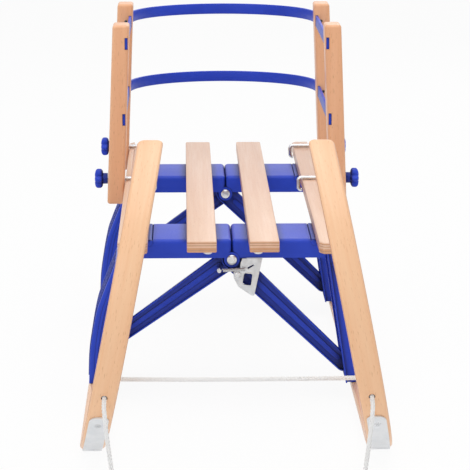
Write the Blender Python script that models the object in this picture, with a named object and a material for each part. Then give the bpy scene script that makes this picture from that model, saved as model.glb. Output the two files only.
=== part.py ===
# Folding wooden sled with a clip-on backrest, in metres, +Z up.
# X runs across the sled, Y from the horns to the backrest, Z up from the ground.
# Two side panels (runner, horn, legs, side slat) hinge on two steel crossbars, each in two halves.
# The halves hinge on a centre pin, so the middle rises when the sled folds.

import bpy
import bmesh
from math import atan2, cos, pi, radians, sin, sqrt
from mathutils import Matrix, Vector

# Clearances
GAP = 0.0003
RUN = 0.0003
CUT = 0.010

# Seat: four slats. Lengthwise places named BACK and AHEAD are measured from their front end
SEAT_FRONT_Y = -0.29975
SEAT_HEIGHT = 0.238
SLAT_WIDTH = 0.039
SLAT_THICK = 0.0152
SLAT_LENGTH = 0.788
SIDE_SLAT_AHEAD = 0.012
SIDE_SLAT_CENTRE = 0.1315
MIDDLE_SLAT_CENTRE = 0.041
SLAT_CORNER = 0.009
SLAT_CORNER_ACROSS = 0.0054
SLAT_EDGE = 0.0016
GROOVE_OUT = 0.0086
GROOVE_WIDTH = 0.006
GROOVE_DEPTH = 0.004
STUD_BACK = 0.014
STUD_INSET = 0.008
STUD_RADIUS = 0.0065
STUD_TIP_RADIUS = 0.0045
STUD_HEIGHT = 0.0042

# Side panel: the runner leans inwards as it rises
PANEL_LEAN = 0.1955
RUNNER_WIDTH = 0.032
RUNNER_THICK = 0.020
RUNNER_GROUND_X = 0.182
RUNNER_REAR_BACK = 0.815
BEND_AHEAD = 0.123
BEND_RADIUS = 0.160
HORN_RADIUS = 0.235
HORN_TURN = radians(66)
HORN_EDGE = 0.003

# Steel skid under each runner
SKID_WIDTH = 0.024
SKID_THICK = 0.0025
SKID_END_INSET = 0.004
SKID_TURN = radians(56)
SKID_SCREW_RADIUS = 0.0042
SKID_SCREW_TURN = radians(51)

# Tow rope and its holes
ROPE_DIAMETER = 0.006
ROPE_HOLE_DIAMETER = 0.0080
ROPE_HOLE_TURN = radians(66.5)

# Crossbars
BAR_FRONT_BACK = 0.0865
BAR_REAR_BACK = 0.5625
BAR_DEPTH = 0.112
BAR_HEIGHT = 0.0255
BAR_WALL = 0.002
BAR_CORNER = 0.008
BAR_FRONT_CORNER = 0.0028
BAR_PAD_X = 0.030
BAR_END_X = 0.104
LOBE_RADIUS = 0.0105
CENTRE_PIN_DROP = 0.0435
CENTRE_PIN_RADIUS = 0.004
CENTRE_PIN_HEAD = 0.0068
SIDE_HINGE_X = 0.110
SIDE_HINGE_DROP = 0.020
HINGE_KNUCKLE = 0.0042
HINGE_PIN_RADIUS = 0.0025
HINGE_PIN_HEAD = 0.0038

# Legs: pressed troughs, open towards the middle of the sled
LEG_WALL = 0.002
LEG_RIM = 0.0045
LEG_SLOPE = 0.15
LEG_INNER_TOP_X = 0.1249
LEG_BOW = ((0.0211, 0.0), (0.0280, 0.037), (0.0385, 0.079), (0.0430, 0.104), (0.0440, 0.151))
LEG_FOOT_BULGE = 0.0390

# Braces from the centre pin down into the legs
BRACE_WIDTH = 0.028
BRACE_TIP_WIDTH = 0.021
BRACE_DEPTH = 0.009
BRACE_WALL = 0.0018
BRACE_ANGLE_LEFT = radians(35.5)
BRACE_ANGLE_RIGHT = radians(44)
BRACE_LENGTH_LEFT = 0.1777
BRACE_LENGTH_RIGHT = 0.2104

# Latch plate on the front right brace, with its spring: X across and Z from the seat
LATCH_BOSS = (0.0077, -0.0635)
LATCH_BOSS_RADIUS = 0.0025
LATCH_BOSS_HEAD = 0.0044
LATCH_BOSS_CROWN = 0.0021
LATCH_OUTLINE = (
    (0.0140, -0.0413), (0.0410, -0.0413), (0.0365, -0.0620), (0.0300, -0.0925), (0.0265, -0.0925),
    (0.0085, -0.0800), (0.0022, -0.0675), (0.0022, -0.0600), (0.0065, -0.0565),
    (0.0108, -0.0545), (0.0118, -0.0470))
LATCH_WINDOW = ((0.0165, -0.0610), (0.0275, -0.0625), (0.0255, -0.0785), (0.0140, -0.0765))
LATCH_SLIT = ((0.0210, -0.0533), (0.0290, -0.0495), (0.0300, -0.0510), (0.0215, -0.0560))
SPRING_PIN = (-0.0172, -0.0566)
SPRING_PIN_RADIUS = 0.0016
SPRING_PIN_HEAD = 0.0028
SPRING_PIN_CROWN = 0.0010
SPRING_PIN_PROUD = 0.0030
SPRING_HOOK = (0.0215, -0.0548)
SPRING_RADIUS = 0.0020
SPRING_WIRE = 0.0008
SPRING_CURLS = 22
SPRING_SHANK = 0.0050
SPRING_HOOK_SHANK = 0.0042
SPRING_AHEAD = 0.0068

# Backrest
POST_WIDTH = 0.0245
POST_DEPTH = 0.045
POST_TOP = 0.471
POST_BOTTOM = 0.206
POST_SEAT_X = 0.1637
POST_LEAN = 0.0385
POST_FRONT_BACK = 0.445
POST_REAR_BACK = 0.731
POST_EDGE = 0.004
BAND_HEIGHT = 0.017
BAND_THICK = 0.004
BAND_INSET = 0.0085
BAND_TOP_DROP = 0.027
BAND_SPACING = 0.112
BAND_ARC_DEPTH = 0.136
BAND_ARC_CLEAR = 0.001
BAND_FRONT_RECESS = 0.0015
BAND_SCREW_RADIUS = 0.0022
BAND_SCREW_PROUD = 0.0016
BAND_SCREW_INSET = 0.0017

# Clamps
ROD_RADIUS = 0.00275
HOOK_BEND = 0.0042
HOOK_DROP = 0.0180
HOOK_STAND_OFF = 0.0026
HOOK_TIP_GAP = 0.0006
HOOK_IN_KNOB = 0.0075
KNOB_RADIUS = 0.0150
KNOB_WAIST = 0.0115
KNOB_LOBES = 6
KNOB_LENGTH = 0.0125
KNOB_CAP = 0.003
KNOB_GAP = 0.0009
KNOB_HUB_RADIUS = 0.0080
KNOB_HUB_LENGTH = 0.0065

# Places worked out from the sizes above
SEAT_REAR_Y = SEAT_FRONT_Y + SLAT_LENGTH
RUNNER_REAR_Y = SEAT_FRONT_Y + RUNNER_REAR_BACK
BEND_CENTRE_Y = SEAT_FRONT_Y - BEND_AHEAD
BAR_FRONT_Y = SEAT_FRONT_Y + BAR_FRONT_BACK
BAR_REAR_Y = SEAT_FRONT_Y + BAR_REAR_BACK
POST_FRONT_Y = SEAT_FRONT_Y + POST_FRONT_BACK
POST_REAR_Y = SEAT_FRONT_Y + POST_REAR_BACK
SLAT_UNDER = SEAT_HEIGHT - SLAT_THICK
BAR_TOP = SLAT_UNDER - GAP
BAR_UNDER = BAR_TOP - BAR_HEIGHT
CENTRE_PIN_Z = SEAT_HEIGHT - CENTRE_PIN_DROP
SIDE_HINGE_Z = SEAT_HEIGHT - SIDE_HINGE_DROP
RUNNER_UNDER = SKID_THICK + GAP
RUNNER_TOP = RUNNER_UNDER + RUNNER_THICK
BEND_CENTRE_Z = RUNNER_UNDER + RUNNER_THICK / 2 + BEND_RADIUS
LEG_TOP = SLAT_UNDER - 2 * GAP
LEG_FOOT = RUNNER_TOP + GAP
LAYER = BAR_WALL + GAP
LATCH_Y = BAR_FRONT_Y - LAYER
BRACE_LAYER_RIGHT = 2 * LAYER
BRACE_LAYER_LEFT = BRACE_LAYER_RIGHT + BRACE_DEPTH + GAP
BAND_ARC_Y = POST_REAR_Y + POST_DEPTH / 2 + BAND_ARC_CLEAR
BAND_LEVELS = (POST_TOP - BAND_TOP_DROP - BAND_SPACING, POST_TOP - BAND_TOP_DROP)
SIDES = (("left", -1), ("right", 1))
BARS = (("front", BAR_FRONT_Y), ("rear", BAR_REAR_Y))


# Materials
def make_material(name, colour, roughness, metallic=0.0):
    material = bpy.data.materials.new(name)
    material.use_nodes = True
    shader = material.node_tree.nodes["Principled BSDF"]
    shader.inputs["Base Color"].default_value = (*colour, 1.0)
    shader.inputs["Roughness"].default_value = roughness
    shader.inputs["Metallic"].default_value = metallic
    material.diffuse_color = (*colour, 1.0)
    return material


def clear_scene():
    for thing in list(bpy.data.objects):
        bpy.data.objects.remove(thing, do_unlink=True)


# Mesh helpers
def finish_mesh(name, bm):
    bmesh.ops.recalc_face_normals(bm, faces=bm.faces)
    mesh = bpy.data.meshes.new(name)
    bm.to_mesh(mesh)
    bm.free()
    return mesh


def add_object(name, mesh, material, smooth=False):
    thing = bpy.data.objects.new(name, mesh)
    bpy.context.scene.collection.objects.link(thing)
    mesh.materials.append(material)
    if smooth:
        mesh.shade_smooth()
        mesh.set_sharp_from_angle(angle=radians(35))
    return thing


def extrude_outline(bm, outline, direction):
    ring = [bm.verts.new(point) for point in outline]
    face = bm.faces.new(ring)
    moved = bmesh.ops.extrude_face_region(bm, geom=[face])
    verts = [item for item in moved["geom"] if isinstance(item, bmesh.types.BMVert)]
    bmesh.ops.translate(bm, verts=verts, vec=direction)


def prism_along_y(bm, outline, y0, y1):
    extrude_outline(bm, [(x, y0, z) for x, z in outline], (0, y1 - y0, 0))


def prism_along_z(bm, outline, z0, z1):
    extrude_outline(bm, [(x, y, z0) for x, y in outline], (0, 0, z1 - z0))


def block(bm, low, high):
    x0, x1 = sorted((low[0], high[0]))
    outline = [(x0, low[2]), (x1, low[2]), (x1, high[2]), (x0, high[2])]
    prism_along_y(bm, outline, low[1], high[1])


def rod_between(bm, start, end, radius, sides=24, end_radius=None):
    start = Vector(start)
    end = Vector(end)
    along = end - start
    turn = along.to_track_quat("Z", "Y").to_matrix().to_4x4()
    place = Matrix.Translation((start + end) / 2) @ turn
    bmesh.ops.create_cone(
        bm, cap_ends=True, segments=sides, radius1=radius,
        radius2=radius if end_radius is None else end_radius,
        depth=along.length, matrix=place)


def arc_points(centre, radius, start, stop, count):
    step = (stop - start) / count
    return [
        (centre[0] + radius * cos(start + step * i), centre[1] + radius * sin(start + step * i))
        for i in range(count + 1)]


def solid_from(name, build, material, smooth=False):
    bm = bmesh.new()
    build(bm)
    return add_object(name, finish_mesh(name, bm), material, smooth)


def cut_with(thing, build, label):
    cutter = solid_from(f"{thing.name}_{label}", build, CUTTER_FINISH)
    cutter.hide_render = True
    cutter.display_type = "WIRE"
    change = thing.modifiers.new(label, "BOOLEAN")
    change.operation = "DIFFERENCE"
    change.solver = "EXACT"
    change.object = cutter
    return cutter


def join_with(thing, build, label):
    extra = cut_with(thing, build, label)
    thing.modifiers[label].operation = "UNION"
    return extra


def round_edges(thing, width, segments=2):
    change = thing.modifiers.new("rounding", "BEVEL")
    change.width = width
    change.segments = segments
    change.limit_method = "ANGLE"
    change.angle_limit = radians(50)
    change.use_clamp_overlap = True


# The side panel's lean: how far out a point lies at a height
def panel_x(height):
    return RUNNER_GROUND_X - PANEL_LEAN * height


# Runner, horn and skid follow one side view: a straight, a bend and the horn
def runner_path(offset, bend_stop, horn_stop, straight_from):
    points = [(straight_from, BEND_CENTRE_Z - BEND_RADIUS + offset)]
    radius = BEND_RADIUS - offset
    for y, z in arc_points((BEND_CENTRE_Y, BEND_CENTRE_Z), radius, -pi / 2, -pi / 2 - bend_stop, 22):
        points.append((y, z))
    if horn_stop > 0:
        horn_centre = (BEND_CENTRE_Y - BEND_RADIUS + HORN_RADIUS, BEND_CENTRE_Z)
        radius = HORN_RADIUS - offset
        arc = arc_points(horn_centre, radius, pi, pi - horn_stop, 16)
        points.extend(arc[1:])
    return points


def leaning_strip(bm, side, inner, outer, half_width):
    rings = []
    for (y_in, z_in), (y_out, z_out) in zip(inner, outer):
        ring = []
        for y, z, across in (
                (y_in, z_in, -half_width), (y_in, z_in, half_width),
                (y_out, z_out, half_width), (y_out, z_out, -half_width)):
            ring.append(bm.verts.new((side * (panel_x(z) + across), y, z)))
        rings.append(ring)
    for first, second in zip(rings, rings[1:]):
        for i in range(4):
            j = (i + 1) % 4
            bm.faces.new((first[i], first[j], second[j], second[i]))
    bm.faces.new(rings[0])
    bm.faces.new(rings[-1])


def bend_point(turn, radius):
    y = BEND_CENTRE_Y - radius * sin(turn)
    z = BEND_CENTRE_Z - radius * cos(turn)
    return y, z


def across_bend(bm, side, turn, radius, inner, outer, sides=20, outer_radius=None):
    y0, z0 = bend_point(turn, inner)
    y1, z1 = bend_point(turn, outer)
    middle = panel_x((z0 + z1) / 2)
    rod_between(bm, (side * middle, y0, z0), (side * middle, y1, z1), radius, sides, outer_radius)


def make_runner(label, side):
    def strip(bm):
        inner = runner_path(RUNNER_THICK / 2, pi / 2, HORN_TURN, RUNNER_REAR_Y)
        outer = runner_path(-RUNNER_THICK / 2, pi / 2, HORN_TURN, RUNNER_REAR_Y)
        leaning_strip(bm, side, inner, outer, RUNNER_WIDTH / 2)

    def hole(bm):
        reach = RUNNER_THICK
        across_bend(bm, side, ROPE_HOLE_TURN, ROPE_HOLE_DIAMETER / 2,
                    BEND_RADIUS - reach, BEND_RADIUS + reach)

    runner = solid_from(f"{label}_runner", strip, WOOD, smooth=True)
    round_edges(runner, HORN_EDGE)
    cut_with(runner, hole, "rope_hole")
    return runner


def make_skid(label, side):
    near = -RUNNER_THICK / 2 - GAP
    far = near - SKID_THICK

    def strip(bm):
        start = RUNNER_REAR_Y - SKID_END_INSET
        inner = runner_path(near, SKID_TURN, 0, start)
        outer = runner_path(far, SKID_TURN, 0, start)
        leaning_strip(bm, side, inner, outer, SKID_WIDTH / 2)

    def holes(bm):
        radius = SKID_SCREW_RADIUS + GAP
        across_bend(bm, side, SKID_SCREW_TURN, radius, BEND_RADIUS - near - SKID_THICK,
                    BEND_RADIUS - far + SKID_THICK)

    def screw(bm):
        near_skid = BEND_RADIUS - near
        across_bend(bm, side, SKID_SCREW_TURN, SKID_SCREW_RADIUS, near_skid, near_skid + SKID_THICK)

    skid = solid_from(f"{label}_skid", strip, STEEL, smooth=True)
    cut_with(skid, holes, "screw_holes")
    solid_from(f"{label}_skid_screw", screw, ZINC, smooth=True)


# Slats
def slat_outline(x0, x1, y0, y1, corner, across):
    if corner == 0:
        return [(x0, y0), (x1, y0), (x1, y1), (x0, y1)]
    return [(x0 + across, y0), (x1 - across, y0), (x1, y0 + corner), (x1, y1 - corner),
            (x1 - across, y1), (x0 + across, y1), (x0, y1 - corner), (x0, y0 + corner)]


def make_slat(name, centre, y0, corner, across):
    half = SLAT_WIDTH / 2

    def board(bm):
        outline = slat_outline(centre - half, centre + half, y0, SEAT_REAR_Y, corner, across)
        prism_along_z(bm, outline, SLAT_UNDER, SEAT_HEIGHT)

    slat = solid_from(name, board, PLY)
    round_edges(slat, SLAT_EDGE)
    return slat


def make_side_slat(label, side):
    front = SEAT_FRONT_Y - SIDE_SLAT_AHEAD
    slat = make_slat(f"{label}_side_slat", side * SIDE_SLAT_CENTRE, front,
                     SLAT_CORNER, SLAT_CORNER_ACROSS)

    def groove(bm):
        x = side * (SIDE_SLAT_CENTRE + GROOVE_OUT)
        low = (x - GROOVE_WIDTH / 2, front - CUT, SEAT_HEIGHT - GROOVE_DEPTH)
        high = (x + GROOVE_WIDTH / 2, SEAT_REAR_Y + CUT, SEAT_HEIGHT + CUT)
        block(bm, low, high)

    cut_with(slat, groove, "groove")


def make_slat_stud(label, side):
    x = side * (MIDDLE_SLAT_CENTRE - STUD_INSET)
    y = SEAT_FRONT_Y + STUD_BACK

    def stud(bm):
        top = SLAT_UNDER - GAP
        rod_between(bm, (x, y, top - STUD_HEIGHT), (x, y, top), STUD_TIP_RADIUS, 20, STUD_RADIUS)

    solid_from(f"{label}_slat_stud", stud, ZINC, smooth=True)


# Crossbars
def bar_outline(side):
    start = GAP / 2
    pin = (0.0, CENTRE_PIN_Z)
    lift = BAR_UNDER - CENTRE_PIN_Z
    first = atan2(lift, sqrt(LOBE_RADIUS ** 2 - lift ** 2))
    outline = [(start, BAR_TOP), (start, CENTRE_PIN_Z + LOBE_RADIUS)]
    outline += arc_points(pin, LOBE_RADIUS, pi / 2, 2 * pi + first, 28)[1:]
    outline.append((BAR_END_X, BAR_UNDER))
    outline += arc_points((SIDE_HINGE_X, SIDE_HINGE_Z), HINGE_KNUCKLE, -pi / 2, pi / 2, 10)
    outline.append((BAR_END_X, BAR_TOP))
    return [(side * x, z) for x, z in outline]


def make_bar_half(label, side, bar, y0):
    y1 = y0 + BAR_DEPTH
    pad = BAR_WALL if label == "left" else LAYER + BAR_WALL

    def shell(bm):
        prism_along_y(bm, bar_outline(side), y0, y1)

    # The flanges are thicker by one layer near the centre pin on the half that lies inside
    def pocket(bm):
        start = side * -BAR_PAD_X
        step = side * BAR_PAD_X
        end = side * (SIDE_HINGE_X + BAR_PAD_X)
        outline = [(start, y0 + pad), (step, y0 + pad)]
        if pad > BAR_WALL:
            outline += [(step, y0 + BAR_WALL)]
        outline += [(end, y0 + BAR_WALL), (end, y1 - BAR_WALL)]
        if pad > BAR_WALL:
            outline += [(step, y1 - BAR_WALL)]
        outline += [(step, y1 - pad), (start, y1 - pad)]
        prism_along_z(bm, outline, CENTRE_PIN_Z - LOBE_RADIUS - CUT, BAR_TOP - BAR_WALL)

    def hinge_room(bm):
        block(bm, (side * BAR_END_X, y0 + BAR_WALL, BAR_UNDER - CUT),
              (side * (SIDE_HINGE_X + BAR_PAD_X), y1 - BAR_WALL, BAR_TOP + CUT))

    def corners(bm):
        edge = side * GAP / 2
        past = BAR_WALL
        floor = CENTRE_PIN_Z + LOBE_RADIUS + GAP
        for y, way, size in ((y1, -1, BAR_CORNER), (y0, 1, BAR_FRONT_CORNER)):
            centre = (edge + side * size, y + way * size)
            outline = [(edge - side * past, y - way * past), (edge + side * size, y - way * past)]
            outline += [(centre[0] - side * x, centre[1] - way * z)
                        for z, x in arc_points((0, 0), size, 0, pi / 2, 6)]
            outline.append((edge - side * past, y + way * size))
            prism_along_z(bm, outline, floor, BAR_TOP + CUT)

    def holes(bm):
        rod_between(bm, (0, y0 - CUT, CENTRE_PIN_Z), (0, y1 + CUT, CENTRE_PIN_Z),
                    CENTRE_PIN_RADIUS + RUN)
        x = side * SIDE_HINGE_X
        rod_between(bm, (x, y0 - CUT, SIDE_HINGE_Z), (x, y1 + CUT, SIDE_HINGE_Z),
                    HINGE_PIN_RADIUS + RUN, 16)

    # The right half steps back where the left half's round lobes lie over it
    def relief(bm):
        radius = LOBE_RADIUS + 2 * GAP
        for low, high in ((y0 - CUT, y0 + LAYER), (y1 - LAYER, y1 + CUT)):
            rod_between(bm, (0, low, CENTRE_PIN_Z), (0, high, CENTRE_PIN_Z), radius, 32)

    half = solid_from(f"{label}_{bar}_crossbar", shell, BLUE)
    cut_with(half, pocket, "pocket")
    cut_with(half, hinge_room, "hinge_room")
    cut_with(half, corners, "corners")
    cut_with(half, holes, "holes")
    if label == "right":
        cut_with(half, relief, "relief")


# A pin with a low domed head at each end, turned as one profile about its own axis
def pin_with_heads(name, x, z, radius, head, y0, y1, sides):
    crown = head * 0.35
    rim = crown * 0.25
    shoulder = crown * 0.82
    profile = [(0.0, y0 - GAP - crown), (head * 0.62, y0 - GAP - shoulder), (head, y0 - GAP - rim),
               (head, y0 - GAP), (radius, y0 - GAP), (radius, y1 + GAP), (head, y1 + GAP),
               (head, y1 + GAP + rim), (head * 0.62, y1 + GAP + shoulder), (0.0, y1 + GAP + crown)]
    solid_from(name, lambda bm: lathe(bm, profile, (x, z), sides), ZINC, smooth=True)


def lathe(bm, profile, centre, sides):
    rings = []
    for radius, y in profile:
        if radius == 0.0:
            rings.append([bm.verts.new((centre[0], y, centre[1]))])
            continue
        ring = []
        for i in range(sides):
            turn = 2 * pi * i / sides
            ring.append(bm.verts.new((centre[0] + radius * cos(turn), y, centre[1] + radius * sin(turn))))
        rings.append(ring)
    for first, second in zip(rings, rings[1:]):
        for i in range(sides):
            j = (i + 1) % sides
            if len(first) == 1:
                bm.faces.new((first[0], second[j], second[i]))
            elif len(second) == 1:
                bm.faces.new((first[i], first[j], second[0]))
            else:
                bm.faces.new((first[i], first[j], second[j], second[i]))


def make_centre_pin(bar, y0):
    pin_with_heads(f"{bar}_centre_pin", 0.0, CENTRE_PIN_Z, CENTRE_PIN_RADIUS, CENTRE_PIN_HEAD,
                   y0, y0 + BAR_DEPTH, 24)


def make_side_hinge_pin(label, side, bar, y0):
    pin_with_heads(f"{label}_{bar}_hinge_pin", side * SIDE_HINGE_X, SIDE_HINGE_Z, HINGE_PIN_RADIUS,
                   HINGE_PIN_HEAD, y0, y0 + BAR_DEPTH, 16)


# Legs
def leg_inner_x(z):
    return LEG_INNER_TOP_X + LEG_SLOPE * (LEG_TOP - z)


def leg_outer_points():
    points = []
    for bulge, drop in LEG_BOW:
        z = LEG_TOP - drop
        points.append((leg_inner_x(z) + bulge, z))
    points.append((leg_inner_x(LEG_FOOT) + LEG_FOOT_BULGE, LEG_FOOT))
    return smooth_line(points, 4)


def smooth_line(points, steps):
    line = []
    padded = [points[0], *points, points[-1]]
    for p0, p1, p2, p3 in zip(padded, padded[1:], padded[2:], padded[3:]):
        for i in range(steps):
            t = i / steps
            line.append(tuple(
                0.5 * (2 * b + (c - a) * t + (2 * a - 5 * b + 4 * c - d) * t * t
                       + (3 * b - a - 3 * c + d) * t ** 3)
                for a, b, c, d in zip(p0, p1, p2, p3)))
    line.append(points[-1])
    return line


def make_leg(label, side, bar, bar_y):
    y0 = bar_y + LAYER
    y1 = bar_y + BAR_DEPTH - LAYER
    bow = leg_outer_points()
    nose_under = SIDE_HINGE_Z - HINGE_KNUCKLE
    knuckle = arc_points((SIDE_HINGE_X, SIDE_HINGE_Z), HINGE_KNUCKLE, pi / 2, 3 * pi / 2, 10)

    def body(bm):
        outline = [(side * x, z) for x, z in bow]
        outline.append((side * leg_inner_x(LEG_FOOT), LEG_FOOT))
        outline.append((side * leg_inner_x(nose_under), nose_under))
        outline.extend((side * x, z) for x, z in reversed(knuckle))
        prism_along_y(bm, outline, y0, y1)

    def rim(bm):
        low = LEG_FOOT
        high = nose_under - LEG_WALL / 2
        outline = [(leg_inner_x(low), low), (leg_inner_x(low) + LEG_WALL, low),
                   (leg_inner_x(high) + LEG_WALL, high), (leg_inner_x(high), high)]
        prism_along_y(bm, [(side * x, z) for x, z in outline], y0 - LEG_RIM, y1 + LEG_RIM)

    def pocket(bm):
        outline = [(side * (x - LEG_WALL), min(z, LEG_TOP - LEG_WALL)) for x, z in bow]
        outline[-1] = (outline[-1][0], LEG_FOOT + LEG_WALL)
        inside = SIDE_HINGE_X - 3 * CUT
        outline.append((side * inside, LEG_FOOT + LEG_WALL))
        outline.append((side * inside, LEG_TOP + CUT))
        outline.append((side * LEG_INNER_TOP_X, LEG_TOP + CUT))
        outline.append((side * LEG_INNER_TOP_X, LEG_TOP - LEG_WALL))
        prism_along_y(bm, outline, y0 + LEG_WALL, y1 - LEG_WALL)

    def hole(bm):
        x = side * SIDE_HINGE_X
        rod_between(bm, (x, y0 - CUT, SIDE_HINGE_Z), (x, y1 + CUT, SIDE_HINGE_Z),
                    HINGE_PIN_RADIUS + RUN, 16)

    leg = solid_from(f"{label}_{bar}_leg", body, BLUE, smooth=True)
    join_with(leg, rim, "rim")
    cut_with(leg, pocket, "pocket")
    cut_with(leg, hole, "hinge_hole")


# Braces: a channel open to the front, turning on the centre pin
def make_brace(label, side, bar, bar_y):
    right = label == "right"
    layer = BRACE_LAYER_RIGHT if right else BRACE_LAYER_LEFT
    angle = BRACE_ANGLE_RIGHT if right else BRACE_ANGLE_LEFT
    length = BRACE_LENGTH_RIGHT if right else BRACE_LENGTH_LEFT
    y0 = bar_y + layer
    y1 = y0 + BRACE_DEPTH
    half = BRACE_WIDTH / 2
    tip_half = BRACE_TIP_WIDTH / 2

    def place(along, across):
        x = along * cos(angle) + across * sin(angle)
        z = -along * sin(angle) + across * cos(angle)
        return side * x, CENTRE_PIN_Z + z

    def stadium(inset):
        points = []
        for along, across in arc_points((0, 0), half - inset, pi / 2, 3 * pi / 2, 10):
            points.append(place(along, across))
        for along, across in arc_points((length, 0), tip_half - inset, -pi / 2, pi / 2, 10):
            points.append(place(along, across))
        return points

    def body(bm):
        prism_along_y(bm, stadium(0), y0, y1)

    def pocket(bm):
        prism_along_y(bm, stadium(BRACE_WALL), y0 - CUT, y1 - BRACE_WALL)

    def hole(bm):
        rod_between(bm, (0, y0 - CUT, CENTRE_PIN_Z), (0, y1 + CUT, CENTRE_PIN_Z),
                    CENTRE_PIN_RADIUS + RUN)

    brace = solid_from(f"{label}_{bar}_brace", body, BLUE)
    cut_with(brace, pocket, "pocket")
    cut_with(brace, hole, "pin_hole")


# Latch plate, its boss pin, and the spring with its pin
def seat_point(x, drop):
    return x, SEAT_HEIGHT + drop


# How far back a pin reaches into a brace: to the web behind its channel
def brace_web_y(layer):
    return BAR_FRONT_Y + layer + BRACE_DEPTH - BRACE_WALL - GAP


def make_latch():
    x, z = seat_point(*LATCH_BOSS)

    def plate(bm):
        prism_along_y(bm, [seat_point(*p) for p in LATCH_OUTLINE], LATCH_Y, LATCH_Y + BAR_WALL)

    def openings(bm):
        for outline in (LATCH_WINDOW, LATCH_SLIT):
            prism_along_y(bm, [seat_point(*p) for p in outline], LATCH_Y - CUT, LATCH_Y + CUT)
        rod_between(bm, (x, LATCH_Y - CUT, z), (x, LATCH_Y + CUT, z), LATCH_BOSS_RADIUS + RUN, 16)

    def boss(bm):
        face = LATCH_Y - GAP
        web = brace_web_y(BRACE_LAYER_RIGHT)
        profile = [(0.0, face - LATCH_BOSS_CROWN), (LATCH_BOSS_HEAD * 0.7, face - LATCH_BOSS_CROWN * 0.9),
                   (LATCH_BOSS_HEAD, face - LATCH_BOSS_CROWN / 3), (LATCH_BOSS_HEAD, face),
                   (LATCH_BOSS_RADIUS, face), (LATCH_BOSS_RADIUS, web), (0.0, web)]
        lathe(bm, profile, (x, z), 16)

    latch = solid_from("latch_plate", plate, ZINC)
    cut_with(latch, openings, "openings")
    solid_from("latch_pin", boss, ZINC, smooth=True)


# The spring: an eye round its pin, a close helix, and a hook through the latch plate's slit
def spring_points():
    pin_x, pin_z = seat_point(*SPRING_PIN)
    hook_x, hook_z = seat_point(*SPRING_HOOK)
    y = BAR_FRONT_Y - SPRING_AHEAD
    start = Vector((pin_x, y, pin_z))
    end = Vector((hook_x, y, hook_z))
    along = (end - start).normalized()
    up = Vector((-along.z, 0, along.x))
    back = Vector((0, 1, 0))
    eye = SPRING_PIN_RADIUS + GAP + SPRING_WIRE
    points = []
    for i in range(11):
        turn = radians(60) + radians(300) * i / 10
        points.append(start + along * eye * cos(turn) + up * eye * sin(turn))
    first = start + along * SPRING_SHANK
    run = end - along * SPRING_HOOK_SHANK - first
    steps = SPRING_CURLS * 8
    for i in range(steps + 1):
        turn = 2 * pi * SPRING_CURLS * i / steps
        points.append(first + run * i / steps + up * SPRING_RADIUS * cos(turn)
                      + back * SPRING_RADIUS * sin(turn))
    points.append(end + back * SPRING_WIRE)
    points.append(end + along * SPRING_WIRE / 2 + back * (SPRING_AHEAD - SPRING_WIRE - 2 * GAP))
    return points


# The helix's least gap to itself: from each point to those of the next curl, less the wire
def spring_gap(points):
    curls = points[11:-2]
    nearest = min(
        (curls[i] - curls[j]).length
        for i in range(len(curls)) for j in range(i + 5, min(i + 13, len(curls))))
    return nearest - SPRING_WIRE


def make_spring():
    x, z = seat_point(*SPRING_PIN)
    head_y = BAR_FRONT_Y - SPRING_AHEAD - SPRING_PIN_PROUD
    web = brace_web_y(BRACE_LAYER_LEFT)
    profile = [(0.0, head_y - SPRING_PIN_CROWN), (SPRING_PIN_HEAD, head_y - SPRING_PIN_CROWN * 0.6),
               (SPRING_PIN_HEAD, head_y), (SPRING_PIN_RADIUS, head_y), (SPRING_PIN_RADIUS, web),
               (0.0, web)]
    solid_from("spring_pin", lambda bm: lathe(bm, profile, (x, z), 16), ZINC, smooth=True)
    points = spring_points()
    print(f"latch spring's least gap to itself: {spring_gap(points) * 1000:.2f} mm")
    tube("latch_spring", points, SPRING_WIRE / 2, 1, STEEL)


def tube(name, points, radius, resolution, material):
    curve = bpy.data.curves.new(name, "CURVE")
    curve.dimensions = "3D"
    curve.bevel_depth = radius
    curve.bevel_resolution = resolution
    curve.use_fill_caps = True
    spline = curve.splines.new("POLY")
    spline.points.add(len(points) - 1)
    for slot, point in zip(spline.points, points):
        slot.co = (*point, 1.0)
    thing = bpy.data.objects.new(name, curve)
    bpy.context.scene.collection.objects.link(thing)
    curve.materials.append(material)


# Backrest posts, bands, hooks and knobs
def post_x(z):
    return POST_SEAT_X - POST_LEAN * (z - SEAT_HEIGHT)


def rod_z():
    return SEAT_HEIGHT + GAP + ROD_RADIUS


def make_post(label, side, bar, y):
    half = POST_WIDTH / 2

    def body(bm):
        outline = []
        for z, way in ((POST_BOTTOM, -1), (POST_BOTTOM, 1), (POST_TOP, 1), (POST_TOP, -1)):
            outline.append((side * (post_x(z) + way * half), z))
        prism_along_y(bm, outline, y - POST_DEPTH / 2, y + POST_DEPTH / 2)

    def slots(bm):
        for level in BAND_LEVELS:
            x = post_x(level) - BAND_INSET
            wide = BAND_THICK / 2 + GAP
            tall = BAND_HEIGHT / 2 + GAP
            block(bm, (side * (x - wide), y - POST_DEPTH, level - tall),
                  (side * (x + wide), y + POST_DEPTH, level + tall))

    def bore(bm):
        z = rod_z()
        rod_between(bm, (side * 0.1, y, z), (side * 0.2, y, z), ROD_RADIUS + RUN)

    post = solid_from(f"{label}_{bar}_post", body, WOOD)
    round_edges(post, POST_EDGE)
    cut_with(post, slots, "slots")
    cut_with(post, bore, "bore")


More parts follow.
